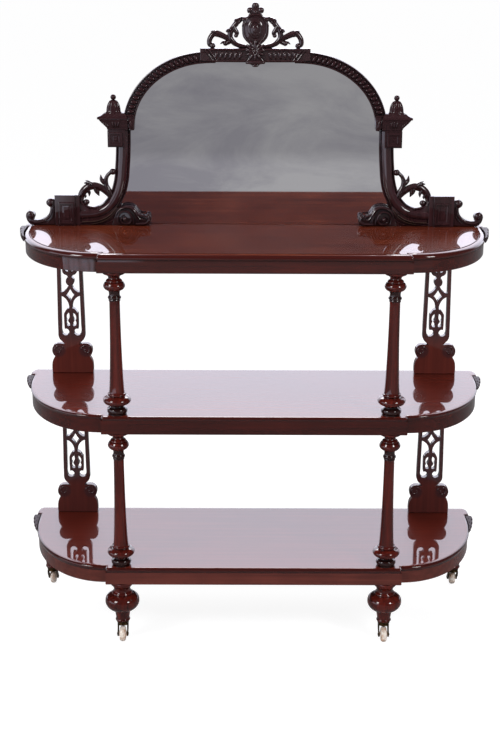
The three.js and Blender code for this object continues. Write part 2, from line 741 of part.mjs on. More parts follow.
function piercedLeaf(label, side) {
  const low = mirrorZ + plinthHeight - leafHeight / 3;
  const across = (shares) => spread(shares, -leafReach, leafHeight, plinthInner, low, side);
  const back = frameBackY - (frameThickness - bracketThickness) / 2;
  const parts = [
    ribbon(across(leafLoopShares), leafBand, leafBand, back, bracketThickness, 12),
    ribbon(across(leafStemShares), leafBand, leafBand, back, bracketThickness, 6),
    ...across(leafCurlShares).map(([x, z]) => pad(leafCurl, x, z, back, bracketThickness)),
  ];
  const neighbour = standing(uprightOutline(side), frameBackY, frameThickness);
  place(`pierced_leaf_${label}`, surface(fitted(join(parts), neighbour)), 'carved');
}

for (let tier = 0; tier < tierNames.length; tier += 1) {
  board(tier);
  frontRail(tier);
  for (const [label, side] of sides) {
    endRail(tier, label, side);
    ear(tier, label, side);
  }
}
for (const [label, side] of sides) {
  for (const [tierLabel, tier] of [['lower', 0], ['upper', 1]]) {
    column(`${tierLabel}_column_${label}`, side * frontFootX, tierTop[tier]);
    fret(`${tierLabel}_fret_${label}`, side * fretX, tierTop[tier]);
  }
  const corners = [
    [`front_${label}`, side * frontFootX, frontY + frontFootSetback, -trail],
    [`rear_${label}`, side * rearFootX, backY - rearFootSetback, trail],
  ];
  for (const [corner, x, y, offset] of corners) {
    foot(`foot_${corner}`, x, y);
    castorCup(`castor_cup_${corner}`, x, y);
    castorFork(`castor_fork_${corner}`, x, y, offset);
    castorWheel(`castor_wheel_${corner}`, x, y + offset);
  }
  upright(label, side);
  arch(label, side);
  capital(label, side);
  outerScroll(label, side);
  innerScroll(label, side);
  piercedLeaf(label, side);
}
mirror();
crownRail();
crest();

export default etagere;
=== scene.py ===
import json
import math
import bpy
from mathutils import Matrix, Vector


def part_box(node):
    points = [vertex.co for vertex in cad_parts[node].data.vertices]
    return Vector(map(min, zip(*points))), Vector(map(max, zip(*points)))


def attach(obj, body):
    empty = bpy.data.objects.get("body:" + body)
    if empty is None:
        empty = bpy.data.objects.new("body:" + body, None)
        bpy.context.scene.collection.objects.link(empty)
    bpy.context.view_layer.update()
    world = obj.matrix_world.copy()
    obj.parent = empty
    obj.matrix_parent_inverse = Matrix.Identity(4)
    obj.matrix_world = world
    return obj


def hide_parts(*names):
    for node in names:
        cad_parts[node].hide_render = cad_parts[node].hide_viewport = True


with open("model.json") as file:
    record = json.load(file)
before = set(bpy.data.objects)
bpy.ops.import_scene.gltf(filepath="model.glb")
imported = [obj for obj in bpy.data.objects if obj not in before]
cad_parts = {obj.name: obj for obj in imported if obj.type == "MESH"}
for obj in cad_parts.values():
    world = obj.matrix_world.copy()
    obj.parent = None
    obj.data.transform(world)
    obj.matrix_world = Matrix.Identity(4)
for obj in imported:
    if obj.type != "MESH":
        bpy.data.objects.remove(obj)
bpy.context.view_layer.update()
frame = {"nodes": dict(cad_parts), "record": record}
bpy.ops.object.select_all(action="DESELECT")
bodyOf = {node: body for body, nodes in frame["record"]["behaviour"]["bodies"].items() for node in nodes}

mm = 0.001
sides = (("left", -1), ("right", 1))
tiers = ("bottom", "middle", "top")
print("frame loaded:", len(frame["nodes"]), "nodes")

# Camera, at the photograph's angle
cameraView = {
    "place": (-17.5, -3250.0, 1663.3),   # mm
    "lens": 66.255,
    "pitch": 17.46,   # degrees down
    "yaw": 0.13,
    "roll": 0.22,
}


def addCamera():
    bpy.ops.object.camera_add()
    camera = bpy.context.object
    camera.name = "photoCamera"
    camera.data.lens = cameraView["lens"]
    camera.data.clip_end = 100
    pitch, yaw, roll = (math.radians(cameraView[key]) for key in ("pitch", "yaw", "roll"))
    turn = (Matrix.Rotation(-yaw, 4, "Z") @ Matrix.Rotation(math.pi / 2 - pitch, 4, "X")
            @ Matrix.Rotation(roll, 4, "Z"))
    camera.matrix_world = Matrix.Translation(Vector(cameraView["place"]) * mm) @ turn
    bpy.context.scene.camera = camera


addCamera()


# Nodes and colours
# sRGB hex to linear
def linear(hexColour):
    parts = [int(hexColour[i:i + 2], 16) / 255 for i in (1, 3, 5)]
    return [c / 12.92 if c <= 0.04045 else ((c + 0.055) / 1.055) ** 2.4 for c in parts] + [1]


# Adds a node; a link comes from a socket, or from the first one of a node
def addNode(tree, kind, settings=None, links=None):
    node = tree.nodes.new("ShaderNode" + kind)
    for key, value in (settings or {}).items():
        if isinstance(key, int) or key in node.inputs:
            node.inputs[key].default_value = value
        else:
            setattr(node, key, value)
    for socket, source in (links or {}).items():
        tree.links.new(getattr(source, "outputs", [source])[0], node.inputs[socket])
    return node


def newMaterial(name):
    material = bpy.data.materials.new(name)
    material.use_nodes = True
    tree = material.node_tree
    tree.nodes.clear()
    output = addNode(tree, "OutputMaterial")
    return material, tree, output


# Studio: a white sweep behind and under the piece, a dim room with a pale floor in front of it
studio = {
    "floorSize": 80.0,          # m
    "floorShade": "#e9e9ea",
    "whiteShare": 0.9,          # how much of what the eye sees of the floor is plain white
    "shadowShade": "#8c8c8e",   # the rest of it, which takes the shadow
    "ambient": 0.34,
    "lamps": (
        # place (m), width (m), height (m), watts, shows in gloss
        ((-2.5, -2.0, 2.7), 0.95, 1.2, 58, True),
        ((2.3, -2.3, 2.6), 0.75, 1.0, 50, True),
        ((0.0, 2.6, 2.8), 1.6, 1.2, 40, True),
        ((0.0, -0.6, 3.5), 2.6, 1.6, 60, False),
    ),
    "aim": (0, 0, 0.8),
}
# What polish and glass show of it: brightness, and from where to where it changes
gloss = {
    # the floor, in m close by, ahead and to the sides
    "midFloor": 0.36,
    "nearFloor": 0.24,
    "farFloor": 0.28,
    "openFloor": 0.9,
    "closeEdge": (-3.2, -2.2),
    "aheadEdge": (-5.3, -2.0),
    "sideEdge": (3.4, 2.0),
    "floorTint": (0.99, 0.985, 1.02, 1),
    # pale screens on the left, in m; the nearer one is draped in folds
    "screen": 1.9,
    "screenTint": (0.92, 0.96, 1.16, 1),
    "nearScreen": {"across": (-1.15, -1.35), "depth": (-1.54, -1.6), "away": (3.9, 4.3)},
    "folds": {"scale": 1.6, "noise": (0.3, 0.7), "light": (0.55, 1.25)},
    "farScreen": {"across": (-6.0, -7.0), "front": (-3.5, -3.0), "back": (4.5, 4.0)},
    # the room and the sweep, by how far the view of them points up, back or across
    "roomDim": 0.07,
    "horizon": (-0.01, 0.04),
    "sweepLight": (2.32, 2.66),
    "sweepRise": (0.27, 0.34),
    "topLight": (0, 0.62),
    "topRise": (0.385, 0.44),
    "sweepEdge": (0.52, 0.74),
    "sweepTint": (0.96, 0.97, 1.12, 1),
    "highScreen": {"across": (-0.56, -0.64), "front": (-0.74, -0.68), "back": (0.1, 0.04),
                   "top": (0.4, 0.34)},
}


# A patch with soft edges: each has a source, from where to where it grows,
# and how strong it is there if not 0 and 1
def softPatch(tree, *edges):
    patch = None
    for source, (low, high), *strengths in edges:
        start, end = strengths[0] if strengths else (0.0, 1.0)
        edge = addNode(tree, "MapRange", {
            "From Min": low, "From Max": high, "To Min": start, "To Max": end}, {"Value": source})
        if patch is not None:
            edge = addNode(tree, "Math", {"operation": "MULTIPLY"}, {0: patch, 1: edge})
        patch = edge
    return patch


# One surface that is plain to the light, something else in gloss, and something else again to the eye
def seenThreeWays(tree, plain, inGloss, byEye):
    light = addNode(tree, "LightPath")
    eye = addNode(tree, "Math", {"operation": "MAXIMUM"}, {
        0: light.outputs["Is Camera Ray"], 1: light.outputs["Is Transmission Ray"]})
    unseen = addNode(tree, "MixShader", links={
        0: light.outputs["Is Glossy Ray"], 1: plain, 2: inGloss})
    return addNode(tree, "MixShader", links={
        0: eye, 1: unseen, 2: byEye})


def addFloor():
    bpy.ops.mesh.primitive_plane_add(size=studio["floorSize"])
    floor = bpy.context.object
    floor.name = "floor"
    material, tree, output = newMaterial("paintedFloor")
    place = addNode(tree, "NewGeometry").outputs["Position"]
    axes = addNode(tree, "SeparateXYZ", links={0: place})
    across, depth = axes.outputs["X"], axes.outputs["Y"]
    aside = addNode(tree, "Math", {"operation": "ABSOLUTE"}, {0: across})
    away = addNode(tree, "VectorMath", {"operation": "LENGTH"}, {0: place})
    # in gloss it is pale close by and to the sides, and greyer farther off
    close = softPatch(tree, (depth, gloss["closeEdge"], (gloss["midFloor"], gloss["nearFloor"])))
    ahead = softPatch(tree, (depth, gloss["aheadEdge"], (gloss["farFloor"], gloss["openFloor"])))
    beside = softPatch(tree, (aside, gloss["sideEdge"], (gloss["farFloor"], gloss["openFloor"])))
    glow = addNode(tree, "Math", {"operation": "MINIMUM"}, {0: close, 1: ahead})
    glow = addNode(tree, "Math", {"operation": "MINIMUM"}, {0: glow, 1: beside})
    # the screens stand on it
    near, far, folds = gloss["nearScreen"], gloss["farScreen"], gloss["folds"]
    drape = addNode(tree, "TexNoise", {"Scale": folds["scale"], "Detail": 2.0}, {"Vector": place})
    nearScreen = softPatch(tree, (across, near["across"]), (depth, near["depth"]),
                           (away.outputs["Value"], near["away"]), (drape, folds["noise"], folds["light"]))
    farScreen = softPatch(tree, (across, far["across"]), (depth, far["front"]), (depth, far["back"]))
    screen = addNode(tree, "Math", {"operation": "MAXIMUM"}, {0: nearScreen, 1: farScreen})
    glow = addNode(tree, "Mix", {"data_type": "FLOAT", 3: gloss["screen"]}, {0: screen, 2: glow})
    tint = addNode(tree, "Mix", {"data_type": "RGBA", 6: gloss["floorTint"], 7: gloss["screenTint"]},
                   {0: screen})
    inGloss = addNode(tree, "Emission", links={"Color": tint.outputs[2], "Strength": glow})
    white = addNode(tree, "Emission", {"Strength": studio["whiteShare"]})
    paint = addNode(tree, "BsdfDiffuse", {"Color": linear(studio["floorShade"])})
    shadow = addNode(tree, "BsdfDiffuse", {"Color": linear(studio["shadowShade"])})
    byEye = addNode(tree, "AddShader", links={0: shadow, 1: white})
    shown = seenThreeWays(tree, paint, inGloss, byEye)
    tree.links.new(shown.outputs[0], output.inputs[0])
    floor.data.materials.append(material)


def addWorld():
    world = bpy.data.worlds.new("studioWorld")
    bpy.context.scene.world = world
    world.use_nodes = True
    tree = world.node_tree
    tree.nodes.clear()
    output = addNode(tree, "OutputWorld")
    view = addNode(tree, "TexCoord")
    axes = addNode(tree, "SeparateXYZ", links={0: view.outputs["Generated"]})
    across, depth, rise = (axes.outputs[axis] for axis in "XYZ")
    room = softPatch(tree, (rise, gloss["horizon"], (gloss["farFloor"], gloss["roomDim"])))
    sweep = softPatch(tree, (rise, gloss["sweepRise"], gloss["sweepLight"]))
    top = softPatch(tree, (rise, gloss["topRise"], gloss["topLight"]))
    sweep = addNode(tree, "Math", {"operation": "ADD"}, {0: sweep, 1: top})
    behind = softPatch(tree, (depth, gloss["sweepEdge"]))
    glow = addNode(tree, "Mix", {"data_type": "FLOAT"}, {0: behind, 2: room, 3: sweep})
    high = gloss["highScreen"]
    screen = softPatch(tree, (across, high["across"]), (depth, high["front"]), (depth, high["back"]),
                       (rise, high["top"]))
    glow = addNode(tree, "Mix", {"data_type": "FLOAT", 3: gloss["screen"]}, {0: screen, 2: glow})
    plain = addNode(tree, "Background", {"Color": (1, 1, 1, 1), "Strength": studio["ambient"]})
    inGloss = addNode(tree, "Background", {"Color": gloss["sweepTint"]}, {"Strength": glow})
    white = addNode(tree, "Background", {"Color": (1, 1, 1, 1), "Strength": 1.0})
    shown = seenThreeWays(tree, plain, inGloss, white)
    tree.links.new(shown.outputs[0], output.inputs[0])


def addLamps():
    for place, width, height, watts, shows in studio["lamps"]:
        bpy.ops.object.light_add(type="AREA", location=place)
        lamp = bpy.context.object
        lamp.data.shape = "RECTANGLE"
        lamp.data.size = width
        lamp.data.size_y = height
        lamp.data.energy = watts
        lamp.visible_camera = False
        lamp.visible_glossy = shows
        lamp.rotation_euler = (Vector(studio["aim"]) - Vector(place)).to_track_quat("-Z", "Y").to_euler()


addFloor()
addWorld()
addLamps()
bpy.context.scene.view_settings.view_transform = "Standard"
print("studio ready")

# Finishes; the sizes of their patterns are in mm
woodLook = {
    "streak": 12.0,         # width of a broad streak
    "streakRun": 420.0,     # its length
    "hair": 2.0,            # width of a fine one
    "hairRun": 140.0,
    "hairShare": 0.2,
    "cloud": 130.0,         # size of the soft patches of colour
    "cloudShare": 0.3,
    "grainDepth": 0.4,
    "roughness": (0.26, 0.4),
    # painted shade in the corners and crevices of the polished wood: its colour, and where it starts and
    # stops
    "paintedCreviceShade": "#100504",
    "paintedCreviceEdge": (0.2, 0.75),
    "flatFace": (0.9, 0.995),   # how level a face is where the edge of a board ends
}
# each part's timber: dark, middle and light, how soft its streaks are, and the reach of the painted shade in
# its corners
timbers = {
    # the boards are lighter copies of the rails' mahogany: painted light on their level tops
    "board": ("#431811", "#5b2017", "#76291b", 0.46, 4.0),
    "topBoard": ("#35140c", "#562316", "#7d3c22", 0.24, 4.0),
    "rail": ("#1d0706", "#360f0b", "#4f1810", 0.34, 4.0),
    "redRail": ("#32130f", "#56261f", "#74362d", 0.34, 4.0),
    "foot": ("#260907", "#45130d", "#631d13", 0.2, 13.0),
    "post": ("#260907", "#45130d", "#631d13", 0.2, 13.0),
    "fret": ("#3b1a16", "#602b25", "#83382e", 0.4, 6.0),
    "frame": ("#1c0e10", "#2e191c", "#42252a", 0.3, 4.0),
    # thin reeds coloured pale: painted highlights where the light catches their arrises
    "rubbed": ("#382a24", "#4a3931", "#5f4b41", 0.3, 4.0),
}
# where the lower supports stand, and how far up the upper ones do
standing = {"foot": 204.0, "pitch": 390.0}
# painted shade on the columns: the darker colour of the collars, the base collar's height and the neck's span
collarShading = {
    "shade": "#26110f",
    "base": 24.0,
    "neck": (276.0, 303.0),
    "edge": 1.0,
}
fretAxis = 468.0
# the scroll carved on each shoulder of a pierced support: its middle, and a rim that winds in
fretScroll = {
    "across": 35.6,
    "up": 61.6,
    "reach": 13.4,
    "eye": 3.0,
    "start": 165.0,     # degrees
    "turn": 400.0,
    "steps": 14,
    "widths": (3.4, 5.2, 4.4, 3.0),
    "depth": 4.4,
}
# painted shade on the pierced supports: shares of red kept in their pierced part, on the scrolls and near the
# floor
fretShading = {
    "shade": "#38262a",
    "rise": (78.0, 104.0),
    "piercedKept": 0.36,
    "scrollKept": 0.3,
    "scrollEdge": (1.1, 1.6),   # shares of its reach
    "lowerKept": 0.72,
    "lowerEdge": 0.9,           # share of the height of the middle shelf
}


def paintedShadeOnEdges(tree, shade):
    # painted shade: the faces of the boards that are not level, their moulded edges, take the darker colour
    # of the rails
    facing = addNode(tree, "NewGeometry")
    up = addNode(tree, "SeparateXYZ", links={0: facing.outputs["Normal"]})
    flat = softPatch(tree, (up.outputs["Z"], woodLook["flatFace"]))
    return addNode(tree, "Mix", {"data_type": "RGBA", 6: linear(timbers["rail"][1])},
                   {0: flat, 7: shade}).outputs[2]


# The place on a column or a pierced support, and its height over the shelf that the piece stands on
def placeOverShelf(tree):
    place = addNode(tree, "TexCoord").outputs["Object"]
    axes = addNode(tree, "SeparateXYZ", links={0: place})
    height = addNode(tree, "Math", {"operation": "SUBTRACT", 1: standing["foot"] * mm},
                     {0: axes.outputs["Z"]})
    height = addNode(tree, "Math", {"operation": "FLOORED_MODULO", 1: standing["pitch"] * mm}, {0: height})
    return axes, height


def paintedShadeOnCollars(tree, shade):
    # painted shade: the collars turned on the columns are coloured darker than their shafts, for the shade on
    # them
    axes, height = placeOverShelf(tree)
    soft = collarShading["edge"] * mm
    base = collarShading["base"] * mm
    low, high = (end * mm for end in collarShading["neck"])
    below = softPatch(tree, (height, (low + soft, low - soft)))
    over = softPatch(tree, (height, (high - soft, high + soft)))
    clear = addNode(tree, "Math", {"operation": "MAXIMUM"}, {0: below, 1: over})
    above = softPatch(tree, (height, (base - soft, base + soft)))
    shaft = addNode(tree, "Math", {"operation": "MULTIPLY"}, {0: above, 1: clear})
    return addNode(tree, "Mix", {"data_type": "RGBA", 6: linear(collarShading["shade"])},
                   {0: shaft, 7: shade}).outputs[2]


# painted shade: the pierced part, the shoulder scrolls and the lower supports are coloured darker
def paintedShadeOnFretwork(tree, shade):
    axes, height = placeOverShelf(tree)
    # how far across from the middle of its own support, and so how far from the middle of a scroll
    across = addNode(tree, "Math", {"operation": "ABSOLUTE"}, {0: axes.outputs["X"]})
    across = addNode(tree, "Math", {"operation": "SUBTRACT", 1: fretAxis * mm}, {0: across})
    across = addNode(tree, "Math", {"operation": "ABSOLUTE"}, {0: across})
    spot = addNode(tree, "CombineXYZ", links={"X": across, "Z": height})
    middle = (fretScroll["across"] * mm, 0, fretScroll["up"] * mm)
    away = addNode(tree, "VectorMath", {"operation": "DISTANCE", 1: middle}, {0: spot})
    rise = [end * mm for end in fretShading["rise"]]
    rim = [share * fretScroll["reach"] * mm for share in fretShading["scrollEdge"]]
    middleShelf = (standing["foot"] + standing["pitch"]) * mm
    red = softPatch(tree, (height, rise, (1, fretShading["piercedKept"])),
                    (away.outputs["Value"], rim, (fretShading["scrollKept"], 1)),
                    (axes.outputs["Z"], (middleShelf * fretShading["lowerEdge"], middleShelf),
                     (fretShading["lowerKept"], 1)))
    return addNode(tree, "Mix", {"data_type": "RGBA", 6: linear(fretShading["shade"])},
                   {0: red, 7: shade}).outputs[2]


# the two patterns of the grain: length and width of a streak, and its noise
grainPatterns = (
    ("streakRun", "streak", {"Detail": 3.0, "Roughness": 0.55, "Distortion": 0.25}),
    ("hairRun", "hair", {"Detail": 2.0}),
)
# the painted shade that the wood of some parts shows
paintedShading = {"board": paintedShadeOnEdges, "topBoard": paintedShadeOnEdges, "post": paintedShadeOnCollars, "fret": paintedShadeOnFretwork}


def frenchPolishedMahogany(tree, place, grain, timber):
    # shellac over open-grained mahogany: deep red-brown streaks under a clear, mirror-like coat
    dark, middle, light, soft, crevice = timbers[timber]
    patterns = []
    for run, width, settings in grainPatterns:
        scale = [1 / (woodLook[run if axis == grain else width] * mm) for axis in "XYZ"]
        along = addNode(tree, "Mapping", {"Scale": scale}, {"Vector": place})
        patterns.append(addNode(tree, "TexNoise", {"Scale": 1.0, **settings}, {"Vector": along}))
    streak, hair = patterns
    cloud = addNode(tree, "TexNoise", {"Scale": 1 / (woodLook["cloud"] * mm), "Detail": 2.0},
                    {"Vector": place})
    figure = addNode(tree, "Mix", {"data_type": "FLOAT", 0: woodLook["hairShare"]}, {2: streak, 3: hair})
    figure = addNode(tree, "Mix", {"data_type": "FLOAT", 0: woodLook["cloudShare"]}, {2: figure, 3: cloud})
    ramp = addNode(tree, "ValToRGB", links={0: figure})
    stops = ramp.color_ramp.elements
    stops[0].position, stops[0].color = 0.5 - soft, linear(dark)
    stops[1].position, stops[1].color = 0.5 + soft, linear(light)
    stops.new(0.5).color = linear(middle)
    # painted shade on the board edges, the column collars and the pierced supports
    shade = paintedShading[timber](tree, ramp) if timber in paintedShading else ramp
    # painted shade in corners and crevices, found by ambient occlusion
    corner = addNode(tree, "AmbientOcclusion", {"Distance": crevice * mm, "samples": 4})
    clear = softPatch(tree, (corner.outputs["AO"], woodLook["paintedCreviceEdge"]))
    colour = addNode(tree, "Mix", {"data_type": "RGBA", 6: linear(woodLook["paintedCreviceShade"])},
                     {0: clear, 7: shade})
    rough = softPatch(tree, (hair, (0, 1), woodLook["roughness"]))
    bump = addNode(tree, "Bump", {"Strength": 0.12, "Distance": woodLook["grainDepth"] * mm},
                   {"Height": hair})
    return addNode(tree, "BsdfPrincipled", {
        "IOR": 1.5, "Specular IOR Level": 0.02, "Coat Weight": 1.0, "Coat Roughness": 0.02, "Coat IOR": 1.52},
        {"Base Color": colour.outputs[2], "Roughness": rough, "Normal": bump})


carvedLook = {
    # painted shade and dark wax in the hollows
    "hollow": "#070405",
    "ground": "#1c0f12",
    "worn": "#341c1f",
    "grit": 5.0,            # size of the blotches in the wax
    "gritDepth": 0.6,
    "hollowReach": 4.5,     # how far the dark in a hollow reaches
    "hollowEdge": (0.25, 0.95),
    "roughness": (0.24, 0.44),
}


def waxedCarving(tree, place, polish):
    # stained, waxed carving, painted near black in the hollows for the shade and the dark wax there; browner
    # where hands and dusters have worn it
    blotch = addNode(tree, "TexNoise", {"Scale": 1 / (carvedLook["grit"] * mm), "Detail": 4.0},
                     {"Vector": place})
    shade = addNode(tree, "Mix", {
        "data_type": "RGBA", 6: linear(carvedLook["ground"]), 7: linear(carvedLook["worn"])}, {0: blotch})
    # painted shade in the hollows, found by ambient occlusion, together with the dark wax there
    depth = addNode(tree, "AmbientOcclusion", {"Distance": carvedLook["hollowReach"] * mm, "samples": 4})
    deep = softPatch(tree, (depth.outputs["AO"], carvedLook["hollowEdge"]))
    colour = addNode(tree, "Mix", {"data_type": "RGBA", 6: linear(carvedLook["hollow"])},
                     {0: deep, 7: shade.outputs[2]})
    rough = softPatch(tree, (blotch, (0, 1), carvedLook["roughness"]))
    bump = addNode(tree, "Bump", {"Strength": 0.25, "Distance": carvedLook["gritDepth"] * mm},
                   {"Height": blotch})
    return addNode(tree, "BsdfPrincipled", {
        "IOR": 1.5, "Specular IOR Level": 0.15 * polish, "Coat Weight": polish, "Coat Roughness": 0.06},
        {"Base Color": colour.outputs[2], "Roughness": rough, "Normal": bump})


glassLook = {
    "drift": (294.12, 1000.0, 125.0),   # size of the clouds in the silvering, along each axis
    "clouded": "#cfcdd6",
    "clear": "#fcfbfc",
    "cloudEdge": (0.38, 0.62),
    "sideShare": 0.3,
    "sideEdge": (-300.0, 100.0),
    "roughness": (0.01, 0.04),
}


def silveredGlass(tree, place):
    # old silvered plate: a grey mirror whose silvering has clouded in drifts, and which is darker towards the
    # left
    drift = addNode(tree, "Mapping", {"Scale": [1 / (size * mm) for size in glassLook["drift"]]},
                    {"Vector": place})
    cloud = addNode(tree, "TexNoise", {
        "Scale": 1.0, "Detail": 6.0, "Roughness": 0.62, "Distortion": 0.5}, {"Vector": drift})
    axes = addNode(tree, "SeparateXYZ", links={0: place})
    side = softPatch(tree, (axes.outputs["X"], [edge * mm for edge in glassLook["sideEdge"]]))
    clear = softPatch(tree, (cloud, glassLook["cloudEdge"]))
    factor = addNode(tree, "Mix", {"data_type": "FLOAT", 0: glassLook["sideShare"]}, {2: clear, 3: side})
    colour = addNode(tree, "Mix", {
        "data_type": "RGBA", 6: linear(glassLook["clouded"]), 7: linear(glassLook["clear"])}, {0: factor})
    rough = softPatch(tree, (cloud, (0, 1), glassLook["roughness"]))
    return addNode(tree, "BsdfPrincipled", {"Metallic": 1.0},
                   {"Base Color": colour.outputs[2], "Roughness": rough})


pineLook = {
    "grain": (9.0, 50.0, 300.0),
    "dark": "#3d2a1c",
    "pale": "#7a5a3d",
    "edge": (0.35, 0.68),
    "roughness": 0.72,
    "grainDepth": 0.6,
}


def sawnPine(tree, place):
    # stained softwood backing: dull brown with straight, open grain
    along = addNode(tree, "Mapping", {"Scale": [1 / (size * mm) for size in pineLook["grain"]]},
                    {"Vector": place})
    grain = addNode(tree, "TexNoise", {"Scale": 1.0, "Detail": 4.0, "Distortion": 0.4}, {"Vector": along})
    ramp = addNode(tree, "ValToRGB", links={0: grain})
    for stop, position, shade in zip(ramp.color_ramp.elements, pineLook["edge"], ("dark", "pale")):
        stop.position = position
        stop.color = linear(pineLook[shade])
    bump = addNode(tree, "Bump", {"Strength": 0.3, "Distance": pineLook["grainDepth"] * mm},
                   {"Height": grain})
    return addNode(tree, "BsdfPrincipled", {"Roughness": pineLook["roughness"], "IOR": 1.5},
                   {"Base Color": ramp, "Normal": bump})


brassLook = {
    "patch": 6.25,
    "tarnish": "#20180f",
    "rubbed": "#5c4526",
    "roughness": (0.3, 0.5),
}


def agedBrass(tree, place):
    # old cast brass: brown with tarnish, yellower where it has been rubbed
    patch = addNode(tree, "TexNoise", {"Scale": 1 / (brassLook["patch"] * mm), "Detail": 4.0},
                    {"Vector": place})
    colour = addNode(tree, "Mix", {
        "data_type": "RGBA", 6: linear(brassLook["tarnish"]), 7: linear(brassLook["rubbed"])}, {0: patch})
    rough = softPatch(tree, (patch, (0, 1), brassLook["roughness"]))
    return addNode(tree, "BsdfPrincipled", {"Metallic": 0.85},
                   {"Base Color": colour.outputs[2], "Roughness": rough})


chinaLook = {
    "dirt": 11.11,
    "stain": "#b58d72",
    "glaze": "#ebe0d6",
    "edge": (0.34, 0.6),
    "roughness": 0.16,
}


def glazedCeramic(tree, place):
    # glazed white china: cream, glossy, with faint dirt from the floor
    dirt = addNode(tree, "TexNoise", {"Scale": 1 / (chinaLook["dirt"] * mm), "Detail": 5.0},
                   {"Vector": place})
    ramp = addNode(tree, "ValToRGB", links={0: dirt})
    for stop, position, shade in zip(ramp.color_ramp.elements, chinaLook["edge"], ("stain", "glaze")):
        stop.position = position
        stop.color = linear(chinaLook[shade])
    return addNode(tree, "BsdfPrincipled", {"Roughness": chinaLook["roughness"], "IOR": 1.5},
                   {"Base Color": ramp})


# A material whose look a function builds from the place on the object
def newFinish(name, look, *choices):
    material, tree, output = newMaterial(name)
    place = addNode(tree, "TexCoord").outputs["Object"]
    shader = look(tree, place, *choices)
    tree.links.new(shader.outputs[0], output.inputs[0])
    return material


# the finishes in each material slot of the frame
finishesOfSlot = {
    "polished_mahogany": {
        "boardWood": newFinish("frenchPolishedMahoganyBoard", frenchPolishedMahogany, "X", "board"),
        "topBoardWood": newFinish("frenchPolishedMahoganyTopBoard", frenchPolishedMahogany, "X", "topBoard"),
        "railWood": newFinish("frenchPolishedMahoganyRail", frenchPolishedMahogany, "X", "rail"),
        "redRailWood": newFinish("frenchPolishedMahoganyLowRail", frenchPolishedMahogany, "X", "redRail"),
        "postWood": newFinish("frenchPolishedMahoganyUpright", frenchPolishedMahogany, "Z", "post"),
        "footWood": newFinish("frenchPolishedMahoganyFoot", frenchPolishedMahogany, "Z", "foot"),
        "fretWood": newFinish("frenchPolishedMahoganyPierced", frenchPolishedMahogany, "Z", "fret"),
        "frameWood": newFinish("frenchPolishedMahoganyFrame", frenchPolishedMahogany, "Z", "frame"),
        # the pale wood that paints highlights on the thin reeds
        "highlightedReedWood": newFinish("paintedHighlightMahogany", frenchPolishedMahogany, "Z", "rubbed"),
    },
    "carved_mahogany": {
        "carving": newFinish("waxedCarvedMahogany", waxedCarving, 0.9),
        "softCarving": newFinish("softWaxedCarvedMahogany", waxedCarving, 0.4),
        "dullCarving": newFinish("dulledCarvedMahogany", waxedCarving, 0.15),
    },
    "mirror_glass": {"glass": newFinish("silveredMirrorGlass", silveredGlass)},
    "backing_board": {"pine": newFinish("stainedPine", sawnPine)},
    "castor_brass": {"brass": newFinish("agedCastBrass", agedBrass)},
    "castor_ceramic": {"china": newFinish("glazedChina", glazedCeramic)},
}
finishes = {finish: material for group in finishesOfSlot.values() for finish, material in group.items()}
print("finishes ready")


# Making pieces
def only(*pieces):
    bpy.ops.object.select_all(action="DESELECT")
    for piece in pieces:
        piece.select_set(True)
    bpy.context.view_layer.objects.active = pieces[0]
    return pieces[0]


# Ties the seams of the piece at hand and turns its faces outwards
def cleaned(reach):
    bpy.ops.object.mode_set(mode="EDIT")
    bpy.ops.mesh.select_all(action="SELECT")
    bpy.ops.mesh.remove_doubles(threshold=reach * mm)
    bpy.ops.mesh.normals_make_consistent(inside=False)
    bpy.ops.object.mode_set(mode="OBJECT")


# Puts the place into the mesh, cleans it and smooths it
def settle(piece, tidy=True, angle=35):
    only(piece)
    bpy.ops.object.transform_apply(location=True, rotation=True, scale=True)
    if tidy:
        cleaned(0.02)
    bpy.ops.object.shade_smooth_by_angle(angle=math.radians(angle))
    return piece


def joined(name, parts):
    piece = only(*parts)
    if len(parts) > 1:
        bpy.ops.object.join()
    piece.name = name
    piece.data.name = name
    return piece


def copied(piece, name, move=(0, 0, 0), mirror=False):
    only(piece)
    bpy.ops.object.duplicate(linked=False)
    twin = bpy.context.object
    twin.name = name
    twin.data.name = name
    twin.location = Vector(move) * mm
    if mirror:
        twin.scale = (-1, 1, 1)
    bpy.ops.object.transform_apply(location=True, rotation=True, scale=True)
    if mirror:
        cleaned(0.005)
    return twin


def finished(piece, node, finish, label="piece"):
    piece.name = f"{node}_{label}"
    piece.data.materials.clear()
    piece.data.materials.append(finishes[finish])
    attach(piece, bodyOf[node])
    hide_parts(node)


# The piece made for the right side, and its mirror image on the left
def onBothSides(right, node, finish, label="piece"):
    left = copied(right, "left", mirror=True)
    finished(right, node + "_right", finish, label)
    finished(left, node + "_left", finish, label)


# A curve through lists of (across, up) or (across, up, corner) points, in mm
def newCurve(splines, cyclic, flat):
    bpy.ops.curve.primitive_bezier_curve_add()
    piece = bpy.context.object
    curve = piece.data
    curve.splines.clear()
    curve.dimensions = "2D" if flat else "3D"
    curve.resolution_u = 6
    for points in splines:
        spline = curve.splines.new("BEZIER")
        spline.bezier_points.add(len(points) - 1)
        spline.use_cyclic_u = cyclic
        for knot, point in zip(spline.bezier_points, points):
            corner = len(point) > 2 and point[2]
            knot.co = (point[0] * mm, point[1] * mm, 0)
            knot.handle_left_type = knot.handle_right_type = "VECTOR" if corner else "AUTO"
    return piece


# A board cut to outline, standing upright between two depths, its edges rounded
def plate(outlines, front, back, rounding=1.2, resolution=6, angle=35):
    piece = newCurve(outlines, True, True)
    curve = piece.data
    curve.resolution_u = resolution
    curve.fill_mode = "BOTH"
    curve.extrude = ((back - front) / 2 - rounding) * mm
    curve.bevel_depth = rounding * mm
    curve.bevel_resolution = 2
    curve.offset = -rounding * mm
    piece.rotation_euler = (math.pi / 2, 0, 0)
    piece.location = (0, (front + back) / 2 * mm, 0)
    only(piece)
    bpy.ops.object.convert(target="MESH")
    return settle(bpy.context.object, angle=angle)


